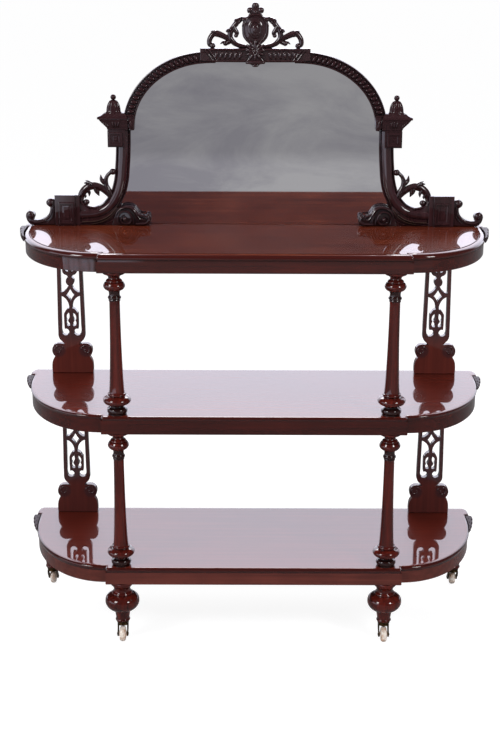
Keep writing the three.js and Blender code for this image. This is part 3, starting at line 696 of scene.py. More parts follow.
# A carved stroke: a round band along (across, up) points, tapering through the given widths
def roll(points, widths, depth, middle, ridge=0.0):
    piece = newCurve([points], False, False)
    curve = piece.data
    curve.resolution_u = 5
    curve.bevel_depth = mm
    curve.bevel_resolution = 2
    curve.use_fill_caps = True
    knots = curve.splines[0].bezier_points
    for i, knot in enumerate(knots):
        share = i / (len(knots) - 1) * (len(widths) - 1)
        low = min(int(share), len(widths) - 2)
        width = widths[low] + (widths[low + 1] - widths[low]) * (share - low)
        knot.radius = width / 2
    only(piece)
    bpy.ops.object.convert(target="MESH")
    piece = bpy.context.object
    piece.rotation_euler = (math.pi / 2, 0, 0)
    piece.location = (0, middle * mm, 0)
    piece.scale = (1, 1, depth / max(widths))
    settle(piece, angle=50)
    if not ridge:
        return piece
    # a raised rib down the middle of the stroke
    rib = roll(points, [width * ridge for width in widths], depth + 3.0, middle)
    return joined(piece.name, [piece, rib])


# A piece turned on a lathe: rings of (radius, height), each extruded from the last
def turned(profile, x, y, segments=48):
    radius, height = profile[0]
    bpy.ops.mesh.primitive_circle_add(vertices=segments, radius=radius * mm, fill_type="NGON",
                                      location=(x * mm, y * mm, height * mm))
    piece = bpy.context.object
    bpy.ops.object.mode_set(mode="EDIT")
    bpy.ops.mesh.select_all(action="SELECT")
    for nextRadius, nextHeight in profile[1:]:
        rise = (nextHeight - height) * mm
        bpy.ops.mesh.extrude_region_move(TRANSFORM_OT_translate={"value": (0, 0, rise)})
        grow = nextRadius / radius
        bpy.ops.transform.resize(value=(grow, grow, 1), center_override=(x * mm, y * mm, nextHeight * mm))
        radius, height = nextRadius, nextHeight
    bpy.ops.object.mode_set(mode="OBJECT")
    return settle(piece)


# A lathe profile from runs of key points: smooth within a run, sharp where runs meet
def flowing(runs, steps=4):
    profile = []
    for keys in runs:
        for i in range(len(keys) - 1):
            a, b = keys[i], keys[i + 1]
            before = keys[i - 1] if i else a
            after = keys[i + 2] if i + 2 < len(keys) else b
            for k in range(steps if len(keys) > 2 else 1):
                t = k / steps
                point = tuple(0.5 * (2 * a[n] + (b[n] - before[n]) * t
                                     + (2 * before[n] - 5 * a[n] + 4 * b[n] - after[n]) * t * t
                                     + (3 * a[n] - before[n] - 3 * b[n] + after[n]) * t ** 3) for n in (0, 1))
                if not profile or abs(point[0] - profile[-1][0]) + abs(point[1] - profile[-1][1]) > 0.05:
                    profile.append(point)
        profile.append(keys[-1])
    return profile


# A moulding: its section, (right of the line, out) in mm, drawn along (across, up) points
def swept(points, section, back, resolution=10, swell=None):
    rail = newCurve([points], False, True)
    for knot, size in zip(rail.data.splines[0].bezier_points, swell or ()):
        knot.radius = size
    shape = newCurve([[(u, v, 1) for u, v in section]], True, True)
    shape.data.resolution_u = 1
    rail.data.resolution_u = resolution
    rail.data.dimensions = "3D"
    rail.data.fill_mode = "FULL"
    rail.data.twist_mode = "Z_UP"
    rail.data.bevel_mode = "OBJECT"
    rail.data.bevel_object = shape
    rail.data.use_fill_caps = True
    rail.rotation_euler = (math.pi / 2, 0, 0)
    rail.location = (0, back * mm, 0)
    only(rail)
    bpy.ops.object.convert(target="MESH")
    piece = settle(bpy.context.object, angle=40)
    bpy.data.objects.remove(shape)
    return piece


# Shelves
shelf = {
    "depth": 385.0,
    "centreHalf": 362.0,
    "breakStep": 14.0,
    "breakRound": 6.0,
    "endReach": 204.0,
    "endDepth": 286.0,
    "rearDepth": 45.0,
    "rearStep": 10.0,
    "cornerDepth": 25.0,
    "cornerWidth": 13.0,
    "edgeHeight": 44.5,
    "railInset": 3.0,
    # the thin sunk line round the top one
    "quirkInset": 12.6,
    "quirk": 1.7,
    "quirkWide": 2.6,
    "quirkSlope": 0.4,
    "seam": 0.03,   # keeps neighbouring points of its outline apart
    "curveSteps": 40,
}
boardTop = [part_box(tier + "_shelf_board")[1].z / mm for tier in tiers]
boardLow = [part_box(tier + "_shelf_board")[0].z / mm for tier in tiers]
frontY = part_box("top_shelf_board")[0].y / mm
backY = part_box("top_shelf_board")[1].y / mm


def endCurve(inset, side, steps):
    points = []
    for i in range(steps + 1):
        angle = math.pi / 2 * i / steps
        x = shelf["centreHalf"] + (shelf["endReach"] - inset) * math.sin(angle)
        y = frontY + shelf["breakStep"] + shelf["endDepth"] - (shelf["endDepth"] - inset) * math.cos(angle)
        points.append((side * x, y))
    return points


# A quarter round that keeps its centre as it is inset, and ends sharp
def roundedCorner(width, depth, inset, steps=4):
    wide, deep = max(width - inset, 0.05), max(depth - inset, 0.05)
    turns = [math.pi / 2 * i / steps for i in range(steps + 1)]
    return [(wide * math.sin(a), deep * math.cos(a)) for a in turns], max(width, inset), max(depth, inset)


def boardOutline(inset):
    stepY = backY - shelf["rearDepth"] + inset
    sideX = shelf["centreHalf"] + shelf["endReach"]
    rearHalf = sideX + shelf["rearStep"]
    arc, acrossIn, upIn = roundedCorner(shelf["breakRound"], shelf["breakRound"], inset)
    half = [(shelf["centreHalf"] - acrossIn + x, frontY + upIn - y) for x, y in arc]
    half.append((shelf["centreHalf"] - inset, frontY + shelf["breakStep"] + inset + shelf["seam"]))
    half += [(x, y + shelf["seam"]) for x, y in endCurve(inset, 1, shelf["curveSteps"])]
    half += [(sideX - inset, stepY), (rearHalf - inset, stepY)]
    arc, acrossIn, upIn = roundedCorner(shelf["cornerWidth"], shelf["cornerDepth"], inset)
    half += [(rearHalf - acrossIn + x, backY - upIn + y) for x, y in reversed(arc)]
    return half + [(-x, y) for x, y in reversed(half)]


# A flat face with that outline, ready for edit mode
def outlineFace(outline, z):
    bpy.ops.mesh.primitive_circle_add(vertices=len(outline), radius=1, fill_type="NGON")
    piece = bpy.context.object
    for vertex, (x, y) in zip(piece.data.vertices, outline):
        vertex.co = (x * mm, y * mm, z * mm)
    bpy.ops.object.mode_set(mode="EDIT")
    bpy.ops.mesh.select_all(action="SELECT")
    bpy.ops.mesh.normals_make_consistent(inside=False)
    return piece


def raised(distance):
    bpy.ops.mesh.extrude_region_move(TRANSFORM_OT_translate={"value": (0, 0, distance * mm)})


def insetFace(thickness, lift):
    bpy.ops.mesh.inset(thickness=thickness * mm, depth=0, use_even_offset=True)
    bpy.ops.transform.translate(value=(0, 0, lift * mm))


# Raises the selected face as a new ring drawn to its own line
def nextRing(piece, before, after, z):
    bpy.ops.mesh.extrude_region_move(TRANSFORM_OT_translate={"value": (0, 0, 0)})
    bpy.ops.object.mode_set(mode="OBJECT")
    face = next(face for face in piece.data.polygons if face.select)
    loop = list(face.vertices)
    vertices = piece.data.vertices
    count = len(before)
    gaps = [(vertices[loop[0]].co.xy - Vector(point) * mm).length for point in before]
    start = gaps.index(min(gaps))
    ahead = (vertices[loop[1]].co.xy - Vector(before[(start + 1) % count]) * mm).length
    behind = (vertices[loop[1]].co.xy - Vector(before[start - 1]) * mm).length
    step = 1 if ahead < behind else -1
    for k, number in enumerate(loop):
        x, y = after[(start + step * k) % count]
        vertices[number].co = (x * mm, y * mm, z * mm)
    bpy.ops.object.mode_set(mode="EDIT")


# A solid built up from (outline, height) rings
def stacked(rings, angle=35):
    before, z = rings[0]
    piece = outlineFace(before, z)
    for after, z in rings[1:]:
        nextRing(piece, before, after, z)
        before = after
    bpy.ops.object.mode_set(mode="OBJECT")
    return settle(piece, angle=angle)


# the moulded edge from the underside up: (inset, height share of the board)
boardEdges = {
    "top": ((3.0, 0), (3.0, 0.07), (1.8, 0.10), (1.8, 0.17), (3.2, 0.19), (3.2, 0.24), (1.4, 0.28),
            (0.4, 0.36), (0, 0.46), (0.2, 0.56), (1.0, 0.67), (2.6, 0.78), (5.0, 0.87), (8.0, 0.93),
            (12.0, 0.965)),
    "middle": ((3.0, 0), (2.6, 0.08), (1.8, 0.26), (0.7, 0.44), (0.1, 0.58), (0.3, 0.70), (1.2, 0.82),
               (2.8, 0.91), (5.0, 0.97), (7.6, 1.0)),
}
boardEdges["bottom"] = boardEdges["middle"]
boardWoods = {"top": "topBoardWood", "middle": "boardWood", "bottom": "boardWood"}


def shelfBoard(tier, index):
    low, high = boardLow[index], boardTop[index]
    line, sink = shelf["quirkInset"], shelf["quirk"]
    rings = [(inset, low + share * (high - low)) for inset, share in boardEdges[tier]]
    if tier == "top":
        end = line + shelf["quirkWide"]
        rings += [(line, high - sink), (end - shelf["quirkSlope"], high - sink), (end, high)]
    else:
        rings.append((line, high))
    piece = stacked([(boardOutline(inset), z) for inset, z in rings], 28)
    finished(piece, tier + "_shelf_board", boardWoods[tier])


railWoods = {"top": "railWood", "middle": "railWood", "bottom": "redRailWood"}
fascia = {
    "thickness": 20.0,
    "gap": 0.3,
    "edge": 1.0,
    "blockDepth": 59.0,
    "blockWidth": 76.0,
    "rearBlockDepth": 85.0,
    "rearBlockWidth": 168.0,
}


# A rail sawn to outline, its lower arris eased
def rail(outline, low, high):
    piece = outlineFace(outline, low + fascia["edge"])
    raised(high - low - fascia["edge"])
    bpy.ops.mesh.select_all(action="DESELECT")
    bpy.ops.object.mode_set(mode="OBJECT")
    for face in piece.data.polygons:
        face.select = face.normal.z < -0.9
    bpy.ops.object.mode_set(mode="EDIT")
    insetFace(fascia["edge"], -fascia["edge"])
    bpy.ops.object.mode_set(mode="OBJECT")
    return settle(piece, angle=28)


def frontRail(tier, index):
    low = boardTop[index] - shelf["edgeHeight"]
    front = frontY + shelf["railInset"]
    outer = shelf["centreHalf"]
    inner = outer - fascia["blockWidth"]
    blockBack = front + fascia["blockDepth"]
    half = [(outer, front), (outer, blockBack), (inner, blockBack), (inner, front + fascia["thickness"])]
    outline = half + [(-x, y) for x, y in reversed(half)]
    piece = rail(outline, low, boardLow[index])
    finished(piece, tier + "_front_rail", railWoods[tier])


def endRail(tier, index, label, side):
    low = boardTop[index] - shelf["edgeHeight"]
    outer = endCurve(shelf["railInset"], side, shelf["curveSteps"])
    inner = endCurve(shelf["railInset"] + fascia["thickness"], side, shelf["curveSteps"] // 2)[::-1]
    gap = fascia["gap"]
    outer[0] = (outer[0][0] + side * gap, outer[0][1])
    inner[-1] = (inner[-1][0] + side * gap, inner[-1][1])
    inset = shelf["railInset"]
    sideX = shelf["centreHalf"] + shelf["endReach"]
    rearHalf = sideX + shelf["rearStep"]
    stepY = backY - shelf["rearDepth"]
    back = backY - inset
    blockX = rearHalf - fascia["rearBlockWidth"]
    rear = [(sideX - inset, stepY + inset), (rearHalf - inset, stepY + inset),
            (rearHalf - inset, backY - shelf["cornerDepth"]), (rearHalf - shelf["cornerWidth"] - inset, back),
            (gap / 2, back), (gap / 2, back - fascia["thickness"]), (blockX, back - fascia["thickness"]),
            (blockX, backY - fascia["rearBlockDepth"])]
    outline = outer + [(side * x, y) for x, y in rear] + inner
    if side < 0:
        outline = outline[::-1]
    piece = rail(outline, low, boardLow[index])
    finished(piece, f"{tier}_end_rail_{label}", railWoods[tier])


for index, tier in enumerate(tiers):
    shelfBoard(tier, index)
    frontRail(tier, index)
    for label, side in sides:
        endRail(tier, index, label, side)
print("shelves made")

# Turned columns and feet: key points of (radius, height) in mm above the lower end
columnRuns = (
    ((21.6, 0), (22.2, 0.6)),
    ((22.2, 0.6), (22.2, 2.8)),
    ((22.2, 2.8), (20.6, 3.6)),
    ((20.6, 3.6), (23.6, 5.8), (24.2, 10.2), (23.0, 14.6), (19.4, 16.8)),
    ((19.4, 16.8), (16.2, 18.6), (16.6, 21.8), (20.4, 24.4)),
    ((20.4, 24.4), (28.4, 27.0), (32.6, 32.2), (32.6, 37.2), (28.8, 42.0), (21.4, 44.6)),
    ((21.4, 44.6), (20.0, 45.8)),
    ((20.0, 45.8), (21.8, 48.2), (21.4, 51.4), (19.0, 52.8)),
    ((19.0, 52.8), (18.0, 58.0), (16.6, 77.0), (15.0, 116.0), (13.5, 169.0), (12.6, 230.0), (12.3, 274.0)),
    ((12.3, 274.0), (13.4, 275.6)),
    ((13.4, 275.6), (13.8, 278.0), (13.0, 280.2)),
    ((13.0, 280.2), (15.2, 282.0), (15.4, 285.2), (13.4, 287.6)),
    ((13.4, 287.6), (12.6, 291.0), (12.8, 296.0), (14.6, 300.4)),
    ((14.6, 300.4), (20.4, 303.2), (24.6, 308.6), (24.9, 314.2), (22.0, 319.6)),
    ((22.0, 319.6), (18.6, 320.6)),
    ((18.6, 320.6), (19.2, 323.6), (17.0, 326.4)),
    ((17.0, 326.4), (13.4, 329.6), (14.0, 333.6), (18.6, 337.6), (24.4, 339.8)),
    ((24.4, 339.8), (25.8, 341.4), (26.0, 345.5)),
)
footRuns = (
    ((15.8, 0), (17.4, 0.8)),
    ((17.4, 0.8), (18.2, 2.8), (17.4, 5.2)),
    ((17.4, 5.2), (16.4, 7.0), (17.4, 15.0), (19.4, 27.4)),
    ((19.4, 27.4), (20.6, 29.6)),
    ((20.6, 29.6), (28.6, 32.6), (36.6, 39.2), (41.1, 47.4), (41.9, 54.6), (40.3, 62.6), (34.4, 69.2),
     (26.4, 72.0)),
    ((26.4, 72.0), (24.4, 73.0)),
    ((24.4, 73.0), (25.2, 75.8), (23.6, 78.6)),
    ((23.6, 78.6), (20.6, 81.4), (20.2, 87.0), (22.2, 93.0), (26.0, 97.4)),
    ((26.0, 97.4), (27.5, 99.0)),
    ((27.5, 99.0), (28.0, 102.6), (27.2, 106.7)),
)
post = {"width": 648.0, "frontSetback": 28.0, "rearFootWidth": 1080.0, "rearSetback": 50.0}


def lifted(runs, low):
    return flowing([[(radius, low + height) for radius, height in run] for run in runs])


# Copies of the lower left support at both sides of both bays
def inBothBays(first, kind, half, finish):
    for label, side in sides:
        for bay, index in (("lower", 0), ("upper", 1)):
            move = ((side + 1) * half, 0, boardTop[index] - boardTop[0])
            finished(copied(first, kind, move), f"{bay}_{kind}_{label}", finish)
    bpy.data.objects.remove(first)


columnY = frontY + post["frontSetback"]
firstColumn = turned(lifted(columnRuns, boardTop[0]), -post["width"] / 2, columnY)
inBothBays(firstColumn, "column", post["width"] / 2, "postWood")

footLow = boardTop[0] - shelf["edgeHeight"] - footRuns[-1][-1][1]
# how much of its swell past the neck each bun keeps; the rear ones are slimmer
bun = {"neck": 20.0, "front": 1.0, "rear": 0.45}
feet = {
    "front": (post["width"] / 2, columnY),
    "rear": (post["rearFootWidth"] / 2, backY - post["rearSetback"]),
}
for end, (x, y) in feet.items():
    runs = [[(min(radius, bun["neck"] + (radius - bun["neck"]) * bun[end]), height) for radius, height in run]
            for run in footRuns]
    firstFoot = turned(lifted(runs, footLow), 0, 0)
    for label, side in sides:
        finished(copied(firstFoot, "foot", (side * x, y, 0)), f"foot_{end}_{label}", "footWood")
    bpy.data.objects.remove(firstFoot)
print("columns and feet made")

# Pierced rear supports: half outlines of (across, up, corner) in mm from the middle of the lower end
fretShape = {
    "axis": fretAxis,
    "front": backY - 36.0,
    "back": backY - 18.0,
    "rounding": 1.5,
    "outer": (
        (53.0, 0, 1), (53.4, 18), (51.8, 31), (49.0, 38), (45.0, 44.6, 1), (49.6, 50.4), (52.0, 60.0),
        (49.4, 70.6), (42.0, 77.6), (33.6, 79.2), (26.0, 78.6), (18.8, 77.2, 1), (24.4, 83.6), (30.8, 90.4),
        (34.0, 98.0), (34.4, 112), (33.4, 200), (32.0, 300), (31.8, 345.5, 1),
    ),
    "diamond": ((0, 222.8, 1), (4.4, 214.6), (10.4, 206.6, 1), (4.4, 200.4), (0, 192.6, 1)),
    "upperSlot": (
        (23.8, 214.4, 1), (17.2, 216.4), (9.6, 223.0), (4.4, 232.0, 1), (9.0, 236.6), (10.6, 243.7),
        (8.4, 250.4), (4.6, 254.2, 1), (8.0, 258.4), (14.6, 261.8), (18.2, 267.0), (18.4, 280.0),
        (18.4, 306.0), (13.0, 316.0), (4.4, 321.6), (4.4, 326.0, 1), (23.2, 326.0, 1), (23.4, 270.0),
    ),
    "lowerSlot": (
        (24.0, 205.0, 1), (17.0, 201.4), (9.2, 192.8), (4.2, 177.0), (4.6, 172.6, 1), (9.4, 170.6),
        (14.2, 164.6), (18.0, 158.0), (18.4, 150.0), (17.8, 121.0), (17.4, 117.6, 1), (12.6, 118.2),
        (8.0, 114.6), (6.4, 109.0), (9.6, 103.4), (15.6, 101.0), (21.6, 103.4), (24.6, 110.0),
        (24.8, 130.0), (24.2, 180.0),
    ),
    "lanternVoid": (
        (5.2, 160.4, 1), (9.8, 156.6), (12.4, 150.0), (12.2, 143.0), (10.4, 140.2, 1), (12.2, 136.6),
        (12.0, 129.0), (8.4, 125.6), (4.2, 126.4, 1), (4.2, 132.0), (7.0, 136.6), (8.8, 140.2, 1),
        (6.4, 144.0), (4.4, 150.0),
    ),
    "crownVoid": (
        (4.4, 268.0, 1), (9.6, 270.8), (12.4, 276.4), (12.4, 288.0), (10.6, 292.0, 1), (12.2, 296.0),
        (11.6, 306.0), (5.0, 312.0, 1), (4.4, 300.0), (7.2, 295.0), (8.8, 291.6, 1), (6.2, 288.0),
        (4.4, 280.0),
    ),
}


# A closed outline from its right half, whose ends lie on the middle line or face each other
def bothHalves(points):
    mirrored = [(-point[0], *point[1:]) for point in reversed(points) if point[0]]
    return list(points) + mirrored


def placedOutline(points, x, z, side=1):
    return [(x + side * point[0], z + point[1], *point[2:]) for point in points]


def fretOutlines(x, z):
    outlines = [placedOutline(bothHalves(fretShape[name]), x, z) for name in ("outer", "diamond")]
    for name in ("upperSlot", "lowerSlot", "lanternVoid", "crownVoid"):
        for side in (1, -1):
            outlines.append(placedOutline(fretShape[name], x, z, side))
    return outlines


# The scroll on one shoulder: a rolled rim that winds in to an eye
def shoulderScroll(side):
    middle = (side * fretScroll["across"] - fretShape["axis"], boardTop[0] + fretScroll["up"])
    points = []
    for k in range(fretScroll["steps"] + 1):
        share = k / fretScroll["steps"]
        angle = math.radians(fretScroll["start"] - fretScroll["turn"] * share)
        reach = fretScroll["reach"] + (fretScroll["eye"] - fretScroll["reach"]) * share
        points.append((middle[0] + side * reach * math.cos(angle), middle[1] + reach * math.sin(angle)))
    return roll(points, fretScroll["widths"], fretScroll["depth"], fretShape["front"])


fretPlate = plate(fretOutlines(-fretShape["axis"], boardTop[0]), fretShape["front"], fretShape["back"],
                  fretShape["rounding"], angle=12)
firstFret = joined("fret", [fretPlate, shoulderScroll(-1), shoulderScroll(1)])
inBothBays(firstFret, "fret", fretShape["axis"], "fretWood")
print("pierced supports made")

# Mirror frame, drawn for the right side; heights are in mm above the top shelf
mirror = {
    "front": 148.5,
    "back": 172.5,
    "plinth": (434.0, 496.0, 0.0, 76.4, 144.5),   # left, right, foot, head, front
    "plinthEnd": 445.0,                           # where its block stops against the sweep
    "panel": (448.0, 486.4, 5.0, 59.0),           # the moulded panel on it: left, right, foot, head
    "panelFace": (3.8, 1.8, 4.0),                 # its margin, its sink and its field
    "gap": 0.3,
    "archMiddle": (110.0, 240.0),
    "archReach": (199.5, 171.0),
    "archWidth": 28.0,
    "railHalf": 133.0,
    "rail": (400.0, 432.5),
    "crestFront": 152.5,
    "crestBack": 168.5,
}
topZ = boardTop[2]


def above(points):
    return [(point[0], topZ + point[1], *point[2:]) for point in points]


# A carved knuckle: an egg laid flat on the work, turned by an angle in degrees
def knuckle(x, z, length, width, angle, middle, depth, segments=12):
    bpy.ops.mesh.primitive_uv_sphere_add(segments=segments, ring_count=segments // 2, radius=mm)
    piece = bpy.context.object
    piece.scale = (length / 2, depth / 2, width / 2)
    piece.rotation_euler = (0, -math.radians(angle), 0)
    piece.location = (x * mm, middle * mm, z * mm)
    return settle(piece, tidy=False, angle=60)


def ball(radius, x, z, middle, depth=None):
    return knuckle(x, z, 2 * radius, 2 * radius, 0, middle, depth or 2 * radius, 16)


# A squared block whose front face has a sunk, moulded panel
def panelled(left, right, low, high, front, back, margin, sink, field):
    bpy.ops.mesh.primitive_cube_add(size=1)
    piece = bpy.context.object
    piece.scale = ((right - left) * mm, (back - front) * mm, (high - low) * mm)
    piece.location = ((left + right) / 2 * mm, (front + back) / 2 * mm, (low + high) / 2 * mm)
    bpy.ops.object.transform_apply(location=True, rotation=True, scale=True)
    bevel = piece.modifiers.new("arris", "BEVEL")
    bevel.width = 1.2 * mm
    bevel.segments = 2
    bpy.ops.object.modifier_apply(modifier=bevel.name)
    for face in piece.data.polygons:
        face.select = face.normal.y < -0.99
    bpy.ops.object.mode_set(mode="EDIT")
    for inset, step in ((margin - 1.2, 0), (0.8, sink), (2.4, 0), (1.4, sink * 0.6), (field, -sink * 0.2),
                        (1.2, -sink)):
        bpy.ops.mesh.inset(thickness=inset * mm)
        bpy.ops.transform.translate(value=(0, step * mm, 0))
    bpy.ops.object.mode_set(mode="OBJECT")
    return settle(piece, angle=15)


# the section of the uprights, (towards the outside, out) in mm: an edge, a half round and another edge
uprightRound = {"half": 12.2, "low": 13, "rise": 11, "steps": 12}
halfTurn = [math.pi * k / uprightRound["steps"] for k in range(uprightRound["steps"] + 1)]
uprightSection = [(18.1, 0), (18.1, 11.6), (17.4, 13.8), (16.0, 14.6), (14.4, 13.8), (13.0, 11.6)]
uprightSection += [(uprightRound["half"] * math.cos(turn),
                    uprightRound["low"] + uprightRound["rise"] * math.sin(turn))
                   for turn in halfTurn]
uprightSection += [(-12.8, 11.4), (-13.4, 12.8), (-14.4, 13.2), (-15.3, 12.4), (-15.6, 10.8), (-16.0, 11.8),
                   (-17.0, 12.2), (-18.0, 11.2), (-18.2, 8), (-18.2, 0)]
uprightLine = ((446, 26.0), (424, 26.0), (404, 27.4), (381, 33.6), (361, 47.6), (343.5, 72.0), (332, 105),
               (326.8, 147.3), (324.2, 187), (323, 235))
uprightSwell = (0.94, 0.94, 0.94, 0.95, 0.97, 1, 1, 1, 1, 1)
footFiller = ((446, 0.3, 1), (348, 0.3, 1), (339, 30), (344, 50, 1), (360, 45), (384, 37), (404, 40),
              (420, 45), (430, 58, 1), (446, 58, 1))
footReeds = (
    (((446, 2.6), (412, 2.8), (388, 5.4), (368, 12.0), (352, 23.0), (341, 36.0), (332, 52)),
     (4.4, 4.4, 4.6, 4.8, 4.4, 3.4, 2.4)),
    (((446, 7.0), (412, 7.2), (390, 9.8), (371, 17.0), (356, 28.0), (346, 41)),
     (4.2, 4.2, 4.2, 4.2, 3.2, 2.0)),
    (((404, 0.8), (386, 1.6), (366, 6.8), (350, 16.0), (341, 26.0)), (2.0, 3.2, 4.4, 4.0, 3.0)),
)
# thin reeds along the foot of the upright, coloured pale: painted highlights where the light catches them
highlightReedLines = (
    ((430, 9.6), (408, 10.0), (388, 13.0), (370, 20.6), (356, 31.0), (346, 43), (338.6, 56), (331, 76),
     (326.6, 96)),
    ((404, 4.4), (386, 8.0), (368, 15.6), (354, 26.4), (344.6, 38.0)),
)
# the lip that carries the frame's edge round the pierced leaf
leafLip = (((352, 62), (362, 53), (374, 46.6), (388, 42.8), (402, 42.6), (416, 45.4), (427, 51.6),
            (433.6, 62),
            (434.6, 76)), (6.6, 6.6, 6.6, 6.6, 7.0, 7.6, 8.4, 9.0, 9.0))


def mirrorUpright():
    return swept(above(uprightLine), uprightSection, mirror["back"], 8, uprightSwell)


# The plinth the upright springs from, with the reeds along the foot of the sweep
def uprightPlinth():
    left, right, low, high, front = mirror["plinth"]
    end = mirror["plinthEnd"]
    gap, reedsY = mirror["gap"], mirror["front"] + 6.5
    outline = ((end, low + gap, 1), (end, high, 1), (right, high, 1), (right, low + gap, 1))
    parts = [plate([above(outline)], front, mirror["back"], 1.2, 1, 12)]
    inner, outer, foot, head = mirror["panel"]
    parts.append(panelled(inner, outer, topZ + foot, topZ + head, front - 3.2, front + 6.0,
                          *mirror["panelFace"]))
    outline = ((left, low + gap, 1), (left, high - gap, 1), (end + 2, high - gap, 1), (end + 2, low + gap, 1))
    parts.append(plate([above(outline)], front + 5.0, mirror["back"], 1.2, 1, 12))
    parts.append(plate([above(footFiller)], reedsY, mirror["back"], 0.8))
    for line, widths in footReeds:
        parts.append(roll(above(line), widths, 9.0, reedsY))
    line, widths = leafLip
    parts.append(roll(above(line), widths, 16.0, mirror["back"] - 11.0))
    return joined("plinth", parts)


# the thin reeds whose pale wood paints their highlights
def highlightedReeds():
    parts = [roll(above(line), (0.8, 1.2, 1.0, 0.6), 3.0, mirror["front"] + 1.6) for line in highlightReedLines]
    return joined("reeds", parts)


def archPoint(angle, out=0.0):
    x, h = mirror["archMiddle"]
    wide, tall = mirror["archReach"]
    return x + (wide + out) * math.cos(angle), h + (tall + out) * math.sin(angle)


archSection = ((14, 0), (14, 19.4), (13.2, 21.4), (12, 22), (10.9, 21), (10.6, 17), (-10.6, 17), (-10.9, 21),
               (-12, 22), (-13.2, 21.4), (-14, 19.4), (-14, 0))
archLine = {
    "turns": (4, 10, 18, 28, 38, 48, 58, 68, 78, 86),   # degrees
    "end": ((112, 411.2), (96, 411.6)),
}
# gadroons laid aslant across the band, from turn to turn in radians
gadroons = {
    "start": 0.24,
    "end": 1.44,
    "pitch": 12.0,
    "length": 23.0,
    "width": 10.8,
    "depth": 12.0,
    "slant": 24,    # degrees
    "sink": 16.0,   # from the back of the frame
}
archFoot = ((295.8, 236.6, 1), (303, 235.8, 1), (311, 244, 1), (317.5, 262, 1), (323.5, 272, 1),
            (294.2, 272.4, 1))
# carved strokes on the foot: across, up, length, width, angle, depth
archFootCuts = ((303.6, 252, 27.0, 8.0, 73, 6.0), (310.6, 259, 18.0, 5.0, 66, 5.0))
archFootFillet = ((293.8, 271.8), (309, 272), (323.4, 272.4))


def mirrorArch():
    line = [archPoint(math.radians(turn)) for turn in archLine["turns"]] + list(archLine["end"])
    parts = [swept(above(line), archSection, mirror["back"], 7)]
    angle = gadroons["start"]
    wide, tall = mirror["archReach"]
    while angle < gadroons["end"]:
        x, h = archPoint(angle)
        heading = math.degrees(math.atan2(tall * math.cos(angle), -wide * math.sin(angle)))
        slant = heading - 90 - gadroons["slant"]
        parts.append(knuckle(x, topZ + h, gadroons["length"], gadroons["width"], slant,
                             mirror["back"] - gadroons["sink"], gadroons["depth"]))
        angle += gadroons["pitch"] / math.hypot(wide * math.sin(angle), tall * math.cos(angle))
    parts.append(plate([above(archFoot)], mirror["front"] - 0.6, mirror["back"], 1.4))
    for x, h, length, width, turn, depth in archFootCuts:
        parts.append(knuckle(x, topZ + h, length, width, turn, mirror["front"] + 0.4, depth))
    parts.append(roll(above(archFootFillet), (3.6, 3.6), 6.0, mirror["front"] + 1.6))
    return joined("arch", parts)


capitalRings = (
    # left, right, front, height
    (318.0, 360.6, 145.4, 195.4), (318.0, 360.6, 145.4, 236.0), (311.4, 360.0, 146.4, 236.6),
    (311.4, 360.0, 146.4, 238.6), (311.0, 361.4, 145.2, 239.4), (311.0, 361.4, 145.2, 242.0),
    (311.0, 362.4, 144.8, 243.4), (311.0, 368.0, 144.2, 249.0), (311.0, 375.0, 143.2, 255.8),
    (311.0, 379.8, 142.0, 261.4), (311.0, 380.6, 141.6, 263.0), (311.0, 384.6, 140.6, 263.8),
    (311.0, 384.8, 140.6, 267.6), (311.4, 383.6, 141.2, 269.0), (313.0, 376.0, 143.2, 271.6),
    (316.0, 369.6, 145.6, 276.0), (320.0, 366.0, 148.0, 278.0))
# leaves that fold over the hollow of the moulding: across, up, length, angle
capitalLeaves = ((340, 252.6, 20, 90), (333.4, 251.4, 17, 100), (346.6, 251.4, 17, 80), (366, 252.4, 20, 52),
                 (371.4, 256.4, 16, 50), (360.6, 248.6, 15, 60))
capital = {
    "panel": (323.6, 358.4, 198.4, 232.6),   # left, right, foot, head
    "panelFront": 143.0,
    "panelBack": 150.0,
    "panelFace": (5.4, 1.4, 2.8),
    "leafFront": 144.4,
    "leafWidth": 5.0,
}


def boxOutline(left, right, front, back):
    return [(right, front), (right, back), (left, back), (left, front)]


def mirrorCapital():
    rings = [(boxOutline(left, right, front, mirror["back"]), topZ + h)
             for left, right, front, h in capitalRings]
    parts = [stacked(rings, 25)]
    left, right, foot, head = capital["panel"]
    parts.append(panelled(left, right, topZ + foot, topZ + head, capital["panelFront"],
                          capital["panelBack"], *capital["panelFace"]))
    width = capital["leafWidth"]
    for x, h, length, angle in capitalLeaves:
        parts.append(knuckle(x, topZ + h, length, width, angle, capital["leafFront"], width))
    return joined("capital", parts)


finial = {
    "x": 345.4,
    "y": 158.5,
    "foot": 276.4,
    "reeds": 12,
    "flatness": 0.62,
    "ball": 7.0,
    "ballRise": 39.0,
    # radius, height, depth of the grooves
    "bell": ((21.2, 0, 0.2), (21.0, 1.2, 0.4), (18.4, 3.6, 1.0), (17.6, 7.0, 1.5), (17.2, 12.0, 1.7),
             (15.8, 19.0, 1.7), (13.0, 25.4, 1.5), (9.6, 30.2, 1.0), (6.0, 32.2, 0.4), (4.2, 32.8, 0.2),
             (4.0, 34.0, 0)),
}


def mirrorFinial():
    turns = [2 * math.pi * k / (finial["reeds"] * 5) for k in range(finial["reeds"] * 5)]
    rings = []
    for radius, rise, groove in finial["bell"]:
        reach = [radius - groove * (1 - abs(math.sin(finial["reeds"] / 2 * turn))) for turn in turns]
        outline = [(finial["x"] + r * math.cos(turn), finial["y"] + finial["flatness"] * r * math.sin(turn))
                   for r, turn in zip(reach, turns)]
        rings.append((outline, topZ + finial["foot"] + rise))
    top = ball(finial["ball"], finial["x"], topZ + finial["foot"] + finial["ballRise"], finial["y"])
    return joined("finial", [stacked(rings, 40), top])


